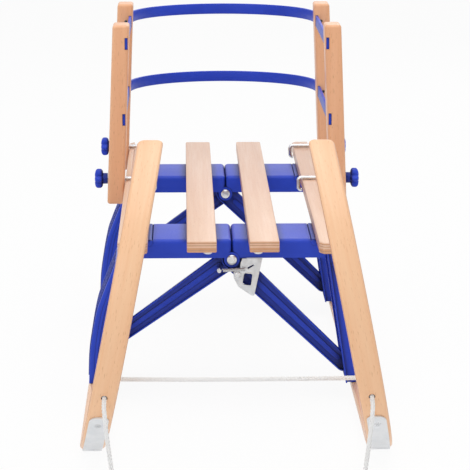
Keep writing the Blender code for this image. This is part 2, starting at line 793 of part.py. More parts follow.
def make_band(name, level):
    half = post_x(level) - BAND_INSET
    front = POST_FRONT_Y - POST_DEPTH / 2 + BAND_FRONT_RECESS

    def path(inset):
        points = [(half - inset, front)]
        for i in range(33):
            turn = pi * i / 32
            points.append(((half - inset) * cos(turn),
                           BAND_ARC_Y + (BAND_ARC_DEPTH - inset) * sin(turn)))
        points.append((-half + inset, front))
        return points

    def strip(bm):
        low = level - BAND_HEIGHT / 2
        inner = path(BAND_THICK / 2)
        outer = path(-BAND_THICK / 2)
        rings = []
        for (xi, yi), (xo, yo) in zip(inner, outer):
            rings.append([bm.verts.new(p) for p in (
                (xi, yi, low), (xo, yo, low), (xo, yo, low + BAND_HEIGHT), (xi, yi, low + BAND_HEIGHT))])
        for first, second in zip(rings, rings[1:]):
            for i in range(4):
                j = (i + 1) % 4
                bm.faces.new((first[i], first[j], second[j], second[i]))
        bm.faces.new(rings[0])
        bm.faces.new(rings[-1])

    solid_from(name, strip, BLUE, smooth=True)


def make_band_screw(label, side, level_name, level):
    def screw(bm):
        y = POST_REAR_Y - POST_DEPTH / 2
        x = side * (post_x(level) - BAND_SCREW_INSET)
        rod_between(bm, (x, y - BAND_SCREW_PROUD, level), (x, y - GAP, level), BAND_SCREW_RADIUS, 12)

    solid_from(f"{label}_{level_name}_band_screw", screw, STEEL, smooth=True)


def make_hook(label, side, bar, y):
    z = rod_z()
    x_down = SIDE_SLAT_CENTRE - SLAT_WIDTH / 2 - HOOK_STAND_OFF - ROD_RADIUS
    x_tip = SIDE_SLAT_CENTRE - SLAT_WIDTH / 2 - HOOK_TIP_GAP
    x_end = POST_SEAT_X + POST_WIDTH / 2 + KNOB_HUB_LENGTH + HOOK_IN_KNOB
    low = z - HOOK_DROP
    points = [(x_end, z), (x_down + HOOK_BEND, z)]
    points += arc_points((x_down + HOOK_BEND, z - HOOK_BEND), HOOK_BEND, pi / 2, pi, 6)[1:]
    points += arc_points((x_down + HOOK_BEND, low + HOOK_BEND), HOOK_BEND, pi, 3 * pi / 2, 6)
    points.append((x_tip, low))
    tube(f"{label}_{bar}_hook", [(side * px, y, pz) for px, pz in points], ROD_RADIUS, 2, ZINC)


def make_knob(label, side, bar, y):
    z = rod_z()
    start = POST_SEAT_X + POST_WIDTH / 2 + KNOB_GAP
    middle = start + KNOB_HUB_LENGTH
    end = middle + KNOB_LENGTH

    def star(bm):
        outline = []
        steps = KNOB_LOBES * 8
        for i in range(steps):
            turn = 2 * pi * i / steps
            radius = KNOB_WAIST + (KNOB_RADIUS - KNOB_WAIST) * (0.5 + 0.5 * cos(KNOB_LOBES * turn)) ** 0.7
            outline.append((side * middle, y + radius * cos(turn), z + radius * sin(turn)))
        extrude_outline(bm, outline, (side * KNOB_LENGTH, 0, 0))

    def hub(bm):
        rod_between(bm, (side * start, y, z), (side * (middle + KNOB_CAP), y, z), KNOB_HUB_RADIUS)

    def bore(bm):
        rod_between(bm, (side * (start - CUT), y, z), (side * (end - KNOB_CAP), y, z),
                    ROD_RADIUS + RUN)

    knob = solid_from(f"{label}_{bar}_knob", star, BLUE_PLASTIC, smooth=True)
    join_with(knob, hub, "hub")
    cut_with(knob, bore, "bore")


# The tow rope is one loop: out of the left hole, along the ground in front of the horns,
# into the right hole and back behind the horns. Its two ends meet inside the left hole.
# These are the right half's points, from each face of the hole to the middle of the sled.
ROPE_FRONT = (
    (0.1607, -0.5927, 0.0965),
    (0.1597, -0.5986, 0.0880),
    (0.1587, -0.6008, 0.0760),
    (0.1557, -0.6013, 0.0500),
    (0.1527, -0.6018, 0.0270),
    (0.1507, -0.6048, 0.0135),
    (0.1487, -0.6122, 0.0055),
    (0.1457, -0.6248, 0.0030),
    (0.1367, -0.6478, 0.0030),
    (0.1187, -0.6678, 0.0030),
    (0.0927, -0.6818, 0.0030),
    (0.0507, -0.6898, 0.0030),
    (0.0000, -0.6918, 0.0030),
)
ROPE_BACK = (
    (0.1577, -0.5443, 0.1180),
    (0.1517, -0.5375, 0.1174),
    (0.1417, -0.5338, 0.1166),
    (0.1187, -0.5323, 0.1158),
    (0.0707, -0.5318, 0.1152),
    (0.0000, -0.5318, 0.1150),
)


# A point on the rope hole's axis, so far out from the runner's middle line
def in_rope_hole(side, out):
    y, z = bend_point(ROPE_HOLE_TURN, BEND_RADIUS + out)
    return side * panel_x(bend_point(ROPE_HOLE_TURN, BEND_RADIUS)[1]), y, z


def rope_points():
    clear = RUNNER_THICK / 2 + ROPE_DIAMETER
    front = [in_rope_hole(1, GAP), in_rope_hole(1, clear), *ROPE_FRONT]
    back = [in_rope_hole(1, -clear), *ROPE_BACK]
    left_front = [(-x, y, z) for x, y, z in front]
    left_back = [(-x, y, z) for x, y, z in back]
    route = left_front + front[-2::-1] + back + left_back[-2::-1] + [in_rope_hole(-1, -GAP)]
    return smooth_line(route, 2)


def make_rope():
    tube("tow_rope", rope_points(), ROPE_DIAMETER / 2, 2, ROPE)


clear_scene()
WOOD = make_material("bent_beech", (0.80, 0.55, 0.36), 0.45)
PLY = make_material("plywood", (0.83, 0.66, 0.50), 0.5)
BLUE = make_material("blue_painted_steel", (0.03, 0.06, 0.45), 0.35)
BLUE_PLASTIC = make_material("blue_plastic", (0.03, 0.06, 0.45), 0.45)
STEEL = make_material("skid_steel", (0.75, 0.75, 0.76), 0.3, 1.0)
ZINC = make_material("zinc_plated_steel", (0.78, 0.79, 0.80), 0.3, 1.0)
ROPE = make_material("white_rope", (0.9, 0.9, 0.89), 0.8)
CUTTER_FINISH = make_material("cutter", (1.0, 0.2, 0.1), 0.9)

for side_name, side_sign in SIDES:
    make_runner(side_name, side_sign)
    make_skid(side_name, side_sign)
    make_side_slat(side_name, side_sign)
    make_slat(f"{side_name}_middle_slat", side_sign * MIDDLE_SLAT_CENTRE, SEAT_FRONT_Y, 0, 0)
    make_slat_stud(side_name, side_sign)
    for bar_name, bar_place in BARS:
        make_bar_half(side_name, side_sign, bar_name, bar_place)
        make_leg(side_name, side_sign, bar_name, bar_place)
        make_side_hinge_pin(side_name, side_sign, bar_name, bar_place)
        make_brace(side_name, side_sign, bar_name, bar_place)
    for post_name, post_place in (("front", POST_FRONT_Y), ("rear", POST_REAR_Y)):
        make_post(side_name, side_sign, post_name, post_place)
        make_hook(side_name, side_sign, post_name, post_place)
        make_knob(side_name, side_sign, post_name, post_place)
for bar_name, bar_place in BARS:
    make_centre_pin(bar_name, bar_place)
make_latch()
make_spring()
for level_name, band_level in zip(("lower", "upper"), BAND_LEVELS):
    make_band(f"{level_name}_back_band", band_level)
    for side_name, side_sign in SIDES:
        make_band_screw(side_name, side_sign, level_name, band_level)
make_rope()
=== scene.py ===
# %% [markdown]
# # A folding wooden sled, dressed for its picture
#
# The imported model gives every piece its place and size. This script gives each piece its real finish:
# lacquered beech, plywood edges, blue powder coat, zinc and a braided rope. The first cells load the
# frame and set up the view, and the rest make materials and meshes.

# %% Load the frame
import bpy
import bmesh
from math import cos, pi, radians, sin, sqrt
from mathutils import Matrix, Vector


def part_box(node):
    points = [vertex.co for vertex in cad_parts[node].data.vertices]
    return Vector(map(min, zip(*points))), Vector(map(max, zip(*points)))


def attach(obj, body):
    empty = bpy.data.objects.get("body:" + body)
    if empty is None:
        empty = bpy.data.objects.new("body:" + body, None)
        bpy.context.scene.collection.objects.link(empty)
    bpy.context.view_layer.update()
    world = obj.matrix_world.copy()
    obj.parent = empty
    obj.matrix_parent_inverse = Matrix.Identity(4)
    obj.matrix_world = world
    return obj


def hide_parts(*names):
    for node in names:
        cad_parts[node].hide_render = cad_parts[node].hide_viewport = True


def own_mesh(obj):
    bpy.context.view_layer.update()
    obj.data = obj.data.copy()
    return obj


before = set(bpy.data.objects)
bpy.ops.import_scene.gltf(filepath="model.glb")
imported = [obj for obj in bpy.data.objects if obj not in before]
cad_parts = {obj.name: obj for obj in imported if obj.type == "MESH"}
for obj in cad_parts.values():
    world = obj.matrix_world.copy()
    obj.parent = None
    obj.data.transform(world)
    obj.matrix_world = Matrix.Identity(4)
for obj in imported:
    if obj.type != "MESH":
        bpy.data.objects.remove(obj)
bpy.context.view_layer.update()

# %% [markdown]
# ## Camera
#
# The picture is nearly a long-lens view from the front, a little above the seat. A long lens keeps the
# rear of the sled almost as large as its front, which is what makes the photograph look so upright.

# %% Camera
LENS = 182.2
CAMERA_PLACE = (-0.0650, -3.33285, 0.8753)
CAMERA_PITCH = radians(11.71)
CAMERA_YAW = radians(1.27)
SENSOR_WIDTH = 36.0

camera_data = bpy.data.cameras.new("camera")
camera_data.lens = LENS
camera_data.sensor_width = SENSOR_WIDTH
camera = bpy.data.objects.new("camera", camera_data)
camera.location = CAMERA_PLACE
camera.rotation_euler = (pi / 2 - CAMERA_PITCH, 0.0, -CAMERA_YAW)
bpy.context.scene.collection.objects.link(camera)
bpy.context.scene.camera = camera
print("camera", LENS, "mm lens at", CAMERA_PLACE)

# %% [markdown]
# ## The tow rope's route
#
# A rope has to be settled first, because it decides how much room the model takes. It is one loop: it
# crosses behind the horns, comes forward through both holes and lies on the ground in front. Only one
# side's points are listed, because the other side is their mirror image. A hole is found by how far the
# runner's bend has turned there, so the rope goes straight through it, at a right angle to the wood.

# %% Rope route
RUNNER_THICK = 0.020
GROUND_X = 0.182
PANEL_LEAN = 0.1955
BEND_CENTRE = (-0.42275, 0.1728)
BEND_RADIUS = 0.160
ROPE_DIAMETER = 0.006
ROPE_HOLE_TURN = radians(66.5)
ROPE_BEND_STEPS = 12
ROPE_STEP = 0.0008
ROPE_FRONT = (
    (0.1607, -0.5927, 0.0965), (0.1597, -0.5986, 0.0880), (0.1587, -0.6008, 0.0760),
    (0.1557, -0.6013, 0.0500), (0.1527, -0.6018, 0.0270), (0.1507, -0.6048, 0.0135),
    (0.1487, -0.6122, 0.0055), (0.1457, -0.6248, 0.0030), (0.1367, -0.6478, 0.0030),
    (0.1187, -0.6678, 0.0030), (0.0927, -0.6818, 0.0030), (0.0507, -0.6898, 0.0030),
    (0.0000, -0.6918, 0.0030),
)
ROPE_BACK = (
    (0.1577, -0.5443, 0.1180), (0.1517, -0.5375, 0.1174), (0.1417, -0.5338, 0.1166),
    (0.1187, -0.5323, 0.1158), (0.0707, -0.5318, 0.1152), (0.0000, -0.5318, 0.1150),
)


def panel_x(height):
    return GROUND_X - PANEL_LEAN * height


# A point on the hole's axis, so far out from the runner's middle line
def in_rope_hole(out):
    reach = BEND_RADIUS + out
    y = BEND_CENTRE[0] - reach * sin(ROPE_HOLE_TURN)
    z = BEND_CENTRE[1] - reach * cos(ROPE_HOLE_TURN)
    return panel_x(BEND_CENTRE[1] - BEND_RADIUS * cos(ROPE_HOLE_TURN)), y, z


def mirrored(points):
    return [(-x, y, z) for x, y, z in points]


def smooth_line(points, steps):
    line = []
    padded = [points[0], *points, points[-1]]
    for p0, p1, p2, p3 in zip(padded, padded[1:], padded[2:], padded[3:]):
        for i in range(steps):
            t = i / steps
            line.append(tuple(
                0.5 * (2 * b + (c - a) * t + (2 * a - 5 * b + 4 * c - d) * t * t
                       + (3 * b - a - 3 * c + d) * t ** 3)
                for a, b, c, d in zip(p0, p1, p2, p3)))
    line.append(points[-1])
    return line


def even_line(points, step):
    places = [Vector(p) for p in points]
    line = [places[0]]
    left = step
    for a, b in zip(places, places[1:]):
        gone = 0.0
        length = (b - a).length
        while length - gone >= left:
            gone += left
            line.append(a.lerp(b, gone / length))
            left = step
        left -= length - gone
    return line


ROPE_HOLE = in_rope_hole(0.0)
HOLE_CLEAR = RUNNER_THICK / 2 + ROPE_DIAMETER
right_front = [ROPE_HOLE, in_rope_hole(HOLE_CLEAR), *ROPE_FRONT]
right_back = [ROPE_HOLE, in_rope_hole(-HOLE_CLEAR), *ROPE_BACK]
rope_route = mirrored(right_front) + right_front[-2::-1] + right_back[1:] + mirrored(right_back)[-2::-1]
rope_line = even_line(smooth_line(rope_route, ROPE_BEND_STEPS), ROPE_STEP)

# %% [markdown]
# ## Floor, world and lamps
#
# The photograph has a plain white surround. The floor and the world are white to the camera and in
# reflections, while the light that reaches the sled stays at a plain level, mostly from above. The floor
# keeps a small share of its matt finish, which is what lets the sled's shadow show on it.

# %% Floor and world
bpy.context.scene.view_settings.view_transform = "Standard"
FLOOR_SIZE = 60.0
FLOOR_DROP = 0.0004
WORLD_LIGHT = 0.56
WHITE = (1.0, 1.0, 1.0, 1.0)
FLOOR_GREY = (0.92, 0.92, 0.92, 1.0)
FLOOR_WHITE_SHARE = 0.93


def node_tree_of(owner):
    owner.use_nodes = True
    owner.node_tree.nodes.clear()
    return owner.node_tree


def white_to_the_eye(tree, lighting, share):
    path = tree.nodes.new("ShaderNodeLightPath")
    seen = tree.nodes.new("ShaderNodeMath")
    seen.operation = "MAXIMUM"
    tree.links.new(path.outputs["Is Camera Ray"], seen.inputs[0])
    tree.links.new(path.outputs["Is Glossy Ray"], seen.inputs[1])
    through = tree.nodes.new("ShaderNodeMath")
    through.operation = "MAXIMUM"
    tree.links.new(seen.outputs[0], through.inputs[0])
    tree.links.new(path.outputs["Is Transmission Ray"], through.inputs[1])
    amount = tree.nodes.new("ShaderNodeMath")
    amount.operation = "MULTIPLY"
    amount.inputs[1].default_value = share
    tree.links.new(through.outputs[0], amount.inputs[0])
    mix = tree.nodes.new("ShaderNodeMixShader")
    tree.links.new(amount.outputs[0], mix.inputs[0])
    tree.links.new(lighting, mix.inputs[1])
    return mix


world = bpy.data.worlds.new("studio")
bpy.context.scene.world = world
tree = node_tree_of(world)
soft = tree.nodes.new("ShaderNodeBackground")
soft.inputs["Color"].default_value = WHITE
soft.inputs["Strength"].default_value = WORLD_LIGHT
bright = tree.nodes.new("ShaderNodeBackground")
bright.inputs["Color"].default_value = WHITE
mix = white_to_the_eye(tree, soft.outputs[0], 1.0)
tree.links.new(bright.outputs[0], mix.inputs[2])
out = tree.nodes.new("ShaderNodeOutputWorld")
tree.links.new(mix.outputs[0], out.inputs["Surface"])

floor_mesh = bpy.data.meshes.new("floor")
half = FLOOR_SIZE / 2
floor_mesh.from_pydata([(-half, -half, -FLOOR_DROP), (half, -half, -FLOOR_DROP),
                        (half, half, -FLOOR_DROP), (-half, half, -FLOOR_DROP)], [], [(0, 1, 2, 3)])
floor = bpy.data.objects.new("floor", floor_mesh)
bpy.context.scene.collection.objects.link(floor)
floor_finish = bpy.data.materials.new("white_floor")
tree = node_tree_of(floor_finish)
matt = tree.nodes.new("ShaderNodeBsdfDiffuse")
matt.inputs["Color"].default_value = FLOOR_GREY
glow = tree.nodes.new("ShaderNodeEmission")
glow.inputs["Color"].default_value = WHITE
mix = white_to_the_eye(tree, matt.outputs[0], FLOOR_WHITE_SHARE)
tree.links.new(glow.outputs[0], mix.inputs[2])
out = tree.nodes.new("ShaderNodeOutputMaterial")
tree.links.new(mix.outputs[0], out.inputs["Surface"])
floor_mesh.materials.append(floor_finish)
print("floor", FLOOR_SIZE, "m wide, world light", WORLD_LIGHT)

# %% Lamps
LAMPS = (
    ("overhead", (0.0, -0.4, 2.6), (0.0, 0.0, 0.2), 2.4, 30.0),
    ("front_left", (-1.6, -3.2, 1.8), (0.0, -0.1, 0.25), 1.8, 16.0),
    ("rear", (0.8, 2.6, 2.0), (0.0, 0.2, 0.25), 1.8, 12.0),
)


def add_lamp(name, place, target, size, watts):
    data = bpy.data.lights.new(name, "AREA")
    data.shape = "SQUARE"
    data.size = size
    data.energy = watts
    lamp = bpy.data.objects.new(name, data)
    lamp.location = place
    lamp.rotation_euler = (Vector(target) - Vector(place)).to_track_quat("-Z", "Y").to_euler()
    bpy.context.scene.collection.objects.link(lamp)


for lamp_values in LAMPS:
    add_lamp(*lamp_values)
print(len(LAMPS), "lamps")

# %% [markdown]
# ## Materials
#
# Colours are easier to judge as the eight-bit values a picture shows, so a small helper turns those
# into the linear values a shader needs. Another one adds a node and sets its inputs in one line.

# %% Material helpers
COAT_ROUGHNESS = 0.22


def linear(red, green, blue):
    values = []
    for value in (red / 255, green / 255, blue / 255):
        values.append(value / 12.92 if value <= 0.04045 else ((value + 0.055) / 1.055) ** 2.4)
    return (*values, 1.0)


def start_material(name, roughness, metallic=0.0, coat=0.0):
    material = bpy.data.materials.new(name)
    material.use_nodes = True
    shader = material.node_tree.nodes["Principled BSDF"]
    shader.inputs["Roughness"].default_value = roughness
    shader.inputs["Metallic"].default_value = metallic
    shader.inputs["Coat Weight"].default_value = coat
    shader.inputs["Coat Roughness"].default_value = COAT_ROUGHNESS
    return material, material.node_tree, shader


def add_node(tree, kind, settings=(), inputs=()):
    node = tree.nodes.new(kind)
    for key, value in dict(settings).items():
        setattr(node, key, value)
    for key, value in dict(inputs).items():
        node.inputs[key].default_value = value
    return node


def stretched_noise(tree, place, scale, detail, roughness=0.55):
    mapping = add_node(tree, "ShaderNodeMapping", inputs={"Scale": scale})
    tree.links.new(place, mapping.inputs["Vector"])
    noise = add_node(tree, "ShaderNodeTexNoise",
                     inputs={"Scale": 1.0, "Detail": detail, "Roughness": roughness})
    tree.links.new(mapping.outputs[0], noise.inputs["Vector"])
    return noise.outputs["Fac"]


def spread_out(tree, value, low, high):
    ramp = add_node(tree, "ShaderNodeMapRange",
                    inputs={"From Min": low, "From Max": high, "To Min": 0.0, "To Max": 1.0})
    tree.links.new(value, ramp.inputs["Value"])
    return ramp.outputs["Result"]


def mixed(tree, amount, first, second, most=1.0, blend="MIX"):
    scaled = add_node(tree, "ShaderNodeMath", {"operation": "MULTIPLY"}, {1: most})
    tree.links.new(amount, scaled.inputs[0])
    mix = add_node(tree, "ShaderNodeMix", {"data_type": "RGBA", "blend_type": blend})
    tree.links.new(scaled.outputs[0], mix.inputs["Factor"])
    for socket, colour in ((mix.inputs[6], first), (mix.inputs[7], second)):
        if isinstance(colour, tuple):
            socket.default_value = colour
        else:
            tree.links.new(colour, socket)
    return mix.outputs[2]


def add_bump(tree, shader, height, strength, distance):
    bump = add_node(tree, "ShaderNodeBump", inputs={"Strength": strength, "Distance": distance})
    tree.links.new(height, bump.inputs["Height"])
    tree.links.new(bump.outputs[0], shader.inputs["Normal"])


def set_gloss(tree, shader, value, span, smoothest, roughest):
    gloss = add_node(tree, "ShaderNodeMapRange", inputs={
        "From Min": span[0], "From Max": span[1], "To Min": smoothest, "To Max": roughest})
    tree.links.new(value, gloss.inputs["Value"])
    tree.links.new(gloss.outputs["Result"], shader.inputs["Roughness"])


def object_place(tree, order):
    place = add_node(tree, "ShaderNodeTexCoord").outputs["Object"]
    split = add_node(tree, "ShaderNodeSeparateXYZ")
    join = add_node(tree, "ShaderNodeCombineXYZ")
    tree.links.new(place, split.inputs[0])
    for target, source in enumerate(order):
        tree.links.new(split.outputs[source], join.inputs[target])
    return join.outputs[0]


# %% [markdown]
# ## Wood
#
# Beech has a quiet grain: soft bands along the board, very fine fibres, and short dark flecks a
# millimetre or two long. Three noises stretched along the grain give these three scales. A layered
# board adds bands across its thickness, which show only where an edge is cut: plywood has lighter and
# darker plies with thin glue lines, and a bent runner has thin layers that follow its curve.

# %% Wood
GRAIN_BANDS = (46.0, 2.2, 46.0)
GRAIN_FIBRES = (620.0, 11.0, 620.0)
GRAIN_FLECKS = (820.0, 120.0, 820.0)


def wood_material(name, place_of, light, deep, fleck, layers=None, roughness=0.42):
    material, tree, shader = start_material(name, roughness, coat=0.25)
    place = place_of(tree)
    bands = spread_out(tree, stretched_noise(tree, place, GRAIN_BANDS, 4.0), 0.32, 0.68)
    fibres = spread_out(tree, stretched_noise(tree, place, GRAIN_FIBRES, 3.0), 0.30, 0.70)
    flecks = spread_out(tree, stretched_noise(tree, place, GRAIN_FLECKS, 1.0), 0.64, 0.74)
    colour = mixed(tree, bands, light, deep)
    if layers:
        colour = layers(tree, place, colour)
    colour = mixed(tree, fibres, colour, deep, 0.28)
    colour = mixed(tree, flecks, colour, fleck, 0.42)
    tree.links.new(colour, shader.inputs["Base Color"])
    set_gloss(tree, shader, fibres, (0.0, 1.0), roughness - 0.06, roughness + 0.10)
    add_bump(tree, shader, fibres, 0.12, 0.0003)
    return material


def ply_layers(axis, start, thickness, tones):
    def layers(tree, place, colour):
        split = add_node(tree, "ShaderNodeSeparateXYZ")
        tree.links.new(place, split.inputs[0])
        level = spread_out(tree, split.outputs[axis], start, start + thickness)
        ramp = add_node(tree, "ShaderNodeValToRGB")
        ramp.color_ramp.interpolation = "CONSTANT"
        points = ramp.color_ramp.elements
        points[0].position = 0.0
        points[0].color = tones[0][1]
        points[1].position = tones[1][0]
        points[1].color = tones[1][1]
        for position, tone in tones[2:]:
            points.new(position).color = tone
        tree.links.new(level, ramp.inputs["Fac"])
        full = add_node(tree, "ShaderNodeValue")
        full.outputs[0].default_value = 1.0
        return mixed(tree, full.outputs[0], colour, ramp.outputs["Color"], 0.85, "MULTIPLY")
    return layers


seat_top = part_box("left_middle_slat")[1].z
seat_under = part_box("left_middle_slat")[0].z
slat_thick = seat_top - seat_under
PLAIN = linear(255, 252, 246)
GLUE = linear(150, 108, 74)
CROSS = linear(232, 196, 156)
SLAT_TONES = (
    (0.0, CROSS), (0.17, PLAIN), (0.20, GLUE), (0.235, CROSS), (0.42, PLAIN), (0.58, CROSS),
    (0.62, GLUE), (0.645, PLAIN), (0.80, GLUE), (0.825, CROSS), (0.90, PLAIN),
)
slat_wood = wood_material(
    "plywood_slat", lambda tree: object_place(tree, (0, 1, 2)),
    linear(236, 202, 178), linear(226, 184, 156), linear(188, 140, 108),
    ply_layers(2, seat_under, slat_thick, SLAT_TONES))
post_wood = wood_material(
    "post_beech", lambda tree: object_place(tree, (0, 2, 1)),
    linear(246, 190, 148), linear(234, 170, 124), linear(186, 124, 84))
print("slat plies over", round(slat_thick * 1000, 1), "mm")


# %% Bent wood, whose grain follows stored coordinates
def swept_place(tree):
    grain = add_node(tree, "ShaderNodeUVMap", {"uv_map": "grain"})
    layer = add_node(tree, "ShaderNodeUVMap", {"uv_map": "layers"})
    grain_parts = add_node(tree, "ShaderNodeSeparateXYZ")
    layer_parts = add_node(tree, "ShaderNodeSeparateXYZ")
    join = add_node(tree, "ShaderNodeCombineXYZ")
    tree.links.new(grain.outputs[0], grain_parts.inputs[0])
    tree.links.new(layer.outputs[0], layer_parts.inputs[0])
    tree.links.new(grain_parts.outputs[1], join.inputs[0])
    tree.links.new(grain_parts.outputs[0], join.inputs[1])
    tree.links.new(layer_parts.outputs[1], join.inputs[2])
    return join.outputs[0]


BENT_TONES = (
    (0.0, PLAIN), (0.115, GLUE), (0.130, CROSS), (0.245, GLUE), (0.260, PLAIN), (0.375, GLUE),
    (0.390, CROSS), (0.500, GLUE), (0.515, PLAIN), (0.630, GLUE), (0.645, CROSS), (0.760, GLUE),
    (0.775, PLAIN), (0.885, GLUE), (0.900, PLAIN),
)
bent_wood = wood_material(
    "bent_beech", swept_place, linear(255, 214, 176), linear(246, 190, 146), linear(208, 148, 102),
    ply_layers(2, -RUNNER_THICK / 2, RUNNER_THICK, BENT_TONES), 0.36)
print("bent wood in 8 layers")

# %% [markdown]
# ## Paint, plastic, metal and rope
#
# Powder coat is smooth with a very slight orange peel, and moulded plastic is a little duller. Both carry
# painted shade: their colour is darkened towards navy where the shape closes in on itself, in the channels
# and seams, as Ambient Occlusion measures it from the mesh. Zinc plate is bright with a cloudy
# variation from the bath, and a galvanised skid is paler and rougher.

# %% Paint and plastic
# The RECESS values set painted shade: how far Ambient Occlusion looks, and the dark navy painted into
# recesses.
RECESS_REACH = 0.016
PAINTED_RECESS_SHADE = linear(18, 28, 84)
RECESS_CLOSED = 0.35
RECESS_OPEN = 0.92
PAINT_SPECULAR = 0.28


def coated_material(name, colour, shade, roughness, coat, grain, bump):
    material, tree, shader = start_material(name, roughness, coat=coat)
    shader.inputs["Specular IOR Level"].default_value = PAINT_SPECULAR
    place = object_place(tree, (0, 1, 2))
    clouds = spread_out(tree, stretched_noise(tree, place, (14.0, 14.0, 14.0), 3.0), 0.3, 0.7)
    peel = stretched_noise(tree, place, (grain, grain, grain), 2.0)
    # Painted shade: the base colour is darkened towards a dark navy in channels and seams, by Ambient
    # Occlusion.
    closeness = add_node(tree, "ShaderNodeAmbientOcclusion", inputs={"Distance": RECESS_REACH})
    painted_shade_mask = spread_out(tree, closeness.outputs["AO"], RECESS_CLOSED, RECESS_OPEN)
    unshaded_paint = mixed(tree, clouds, colour, shade)
    tree.links.new(mixed(tree, painted_shade_mask, PAINTED_RECESS_SHADE, unshaded_paint), shader.inputs["Base Color"])
    set_gloss(tree, shader, peel, (0.3, 0.7), roughness - 0.05, roughness + 0.07)
    add_bump(tree, shader, peel, bump, 0.0002)
    return material


blue_paint = coated_material(
    "blue_powder_coat", linear(38, 72, 206), linear(32, 64, 192), 0.42, 0.08, 700.0, 0.10)
blue_plastic = coated_material(
    "blue_moulded_plastic", linear(46, 78, 212), linear(38, 66, 196), 0.46, 0.0, 1500.0, 0.16)
print("blue paint and plastic")


# %% Metal and rope
def metal_material(name, colour, shade, roughness, clouds_scale, metallic=1.0):
    material, tree, shader = start_material(name, roughness, metallic)
    place = object_place(tree, (0, 1, 2))
    scale = (clouds_scale, clouds_scale, clouds_scale)
    clouds = spread_out(tree, stretched_noise(tree, place, scale, 4.0), 0.3, 0.7)
    tree.links.new(mixed(tree, clouds, colour, shade), shader.inputs["Base Color"])
    set_gloss(tree, shader, clouds, (0.0, 1.0), roughness - 0.05, roughness + 0.10)
    fine = stretched_noise(tree, place, (1800.0, 1800.0, 1800.0), 2.0)
    add_bump(tree, shader, fine, 0.08, 0.0001)
    return material


zinc = metal_material("zinc_plate", linear(226, 227, 228), linear(204, 206, 208), 0.26, 90.0)
latch_zinc = metal_material("stamped_zinc", linear(222, 224, 226), linear(204, 207, 210), 0.42, 160.0)
skid_steel = metal_material("galvanised_skid", linear(238, 240, 242), linear(228, 231, 234), 0.5, 60.0, 0.4)
dark_steel = metal_material("dark_screw", linear(92, 90, 90), linear(66, 64, 64), 0.38, 120.0)

rope_white, tree, shader = start_material("white_braid", 0.85)
shader.inputs["Sheen Weight"].default_value = 0.35
fuzz_noise = stretched_noise(tree, object_place(tree, (0, 1, 2)), (900.0, 900.0, 900.0), 3.0)
fuzz = spread_out(tree, fuzz_noise, 0.3, 0.7)
tree.links.new(mixed(tree, fuzz, linear(255, 255, 254), linear(243, 243, 243)), shader.inputs["Base Color"])
add_bump(tree, shader, fuzz, 0.25, 0.0002)
print("five metals and the rope's white")

# %% [markdown]
# ## Mesh helpers
#
# Most pieces are an outline pushed straight through, with its edges rounded by a Bevel modifier and
# holes cut by Booleans. The order matters: rounding first and cutting second keeps the cuts crisp.
# `settle` turns each modifier into plain mesh at once, because the finished piece should hold no cutters.
# Cutters that cross each other spoil a Boolean, so a cross slot is cut in two goes.

# %% Mesh helpers
SMOOTH_ANGLE = radians(38)


def mesh_from(name, build, material):
    bm = bmesh.new()
    build(bm)
    bmesh.ops.recalc_face_normals(bm, faces=bm.faces)
    mesh = bpy.data.meshes.new(name)
    bm.to_mesh(mesh)
    bm.free()
    mesh.materials.append(material)
    return mesh


def smooth_shading(mesh):
    mesh.shade_smooth()
    mesh.set_sharp_from_angle(angle=SMOOTH_ANGLE)


def piece_from(name, build, material, body, nodes):
    mesh = mesh_from(name, build, material)
    smooth_shading(mesh)
    thing = bpy.data.objects.new(name, mesh)
    bpy.context.scene.collection.objects.link(thing)
    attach(thing, body)
    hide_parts(*nodes)
    return thing


def push_outline(bm, points, direction):
    ring = [bm.verts.new(point) for point in points]
    face = bm.faces.new(ring)
    moved = bmesh.ops.extrude_face_region(bm, geom=[face])
    verts = [item for item in moved["geom"] if isinstance(item, bmesh.types.BMVert)]
    bmesh.ops.translate(bm, verts=verts, vec=direction)


def prism_y(bm, outline, y0, y1):
    push_outline(bm, [(x, y0, z) for x, z in outline], (0, y1 - y0, 0))


def prism_z(bm, outline, z0, z1):
    push_outline(bm, [(x, y, z0) for x, y in outline], (0, 0, z1 - z0))


def box_between(bm, low, high):
    x0, x1 = sorted((low[0], high[0]))
    prism_y(bm, [(x0, low[2]), (x1, low[2]), (x1, high[2]), (x0, high[2])], low[1], high[1])


def rod_between(bm, start, end, radius, sides=48, end_radius=None):
    start = Vector(start)
    end = Vector(end)
    turn = (end - start).to_track_quat("Z", "Y").to_matrix().to_4x4()
    bmesh.ops.create_cone(
        bm, cap_ends=True, segments=sides, radius1=radius,
        radius2=radius if end_radius is None else end_radius,
        depth=(end - start).length, matrix=Matrix.Translation((start + end) / 2) @ turn)


def arc_points(centre, radius, start, stop, count):
    step = (stop - start) / count
    return [(centre[0] + radius * cos(start + step * i), centre[1] + radius * sin(start + step * i))
            for i in range(count + 1)]


def settle(thing):
    view = bpy.context.evaluated_depsgraph_get()
    mesh = bpy.data.meshes.new_from_object(thing.evaluated_get(view))
    thing.modifiers.clear()
    thing.data = mesh
    smooth_shading(mesh)


def add_bevel(thing, width, segments):
    change = thing.modifiers.new("rounding", "BEVEL")
    change.width = width
    change.segments = segments
    change.use_clamp_overlap = True
    return change


def rounded(thing, width, segments, angle=40):
    change = add_bevel(thing, width, segments)
    change.limit_method = "ANGLE"
    change.angle_limit = radians(angle)
    settle(thing)


def boolean(thing, build, operation="DIFFERENCE"):
    cutter = bpy.data.objects.new("cutter", mesh_from("cutter", build, thing.data.materials[0]))
    bpy.context.scene.collection.objects.link(cutter)
    change = thing.modifiers.new("cut", "BOOLEAN")
    change.operation = operation
    change.object = cutter
    settle(thing)
    bpy.data.objects.remove(cutter, do_unlink=True)


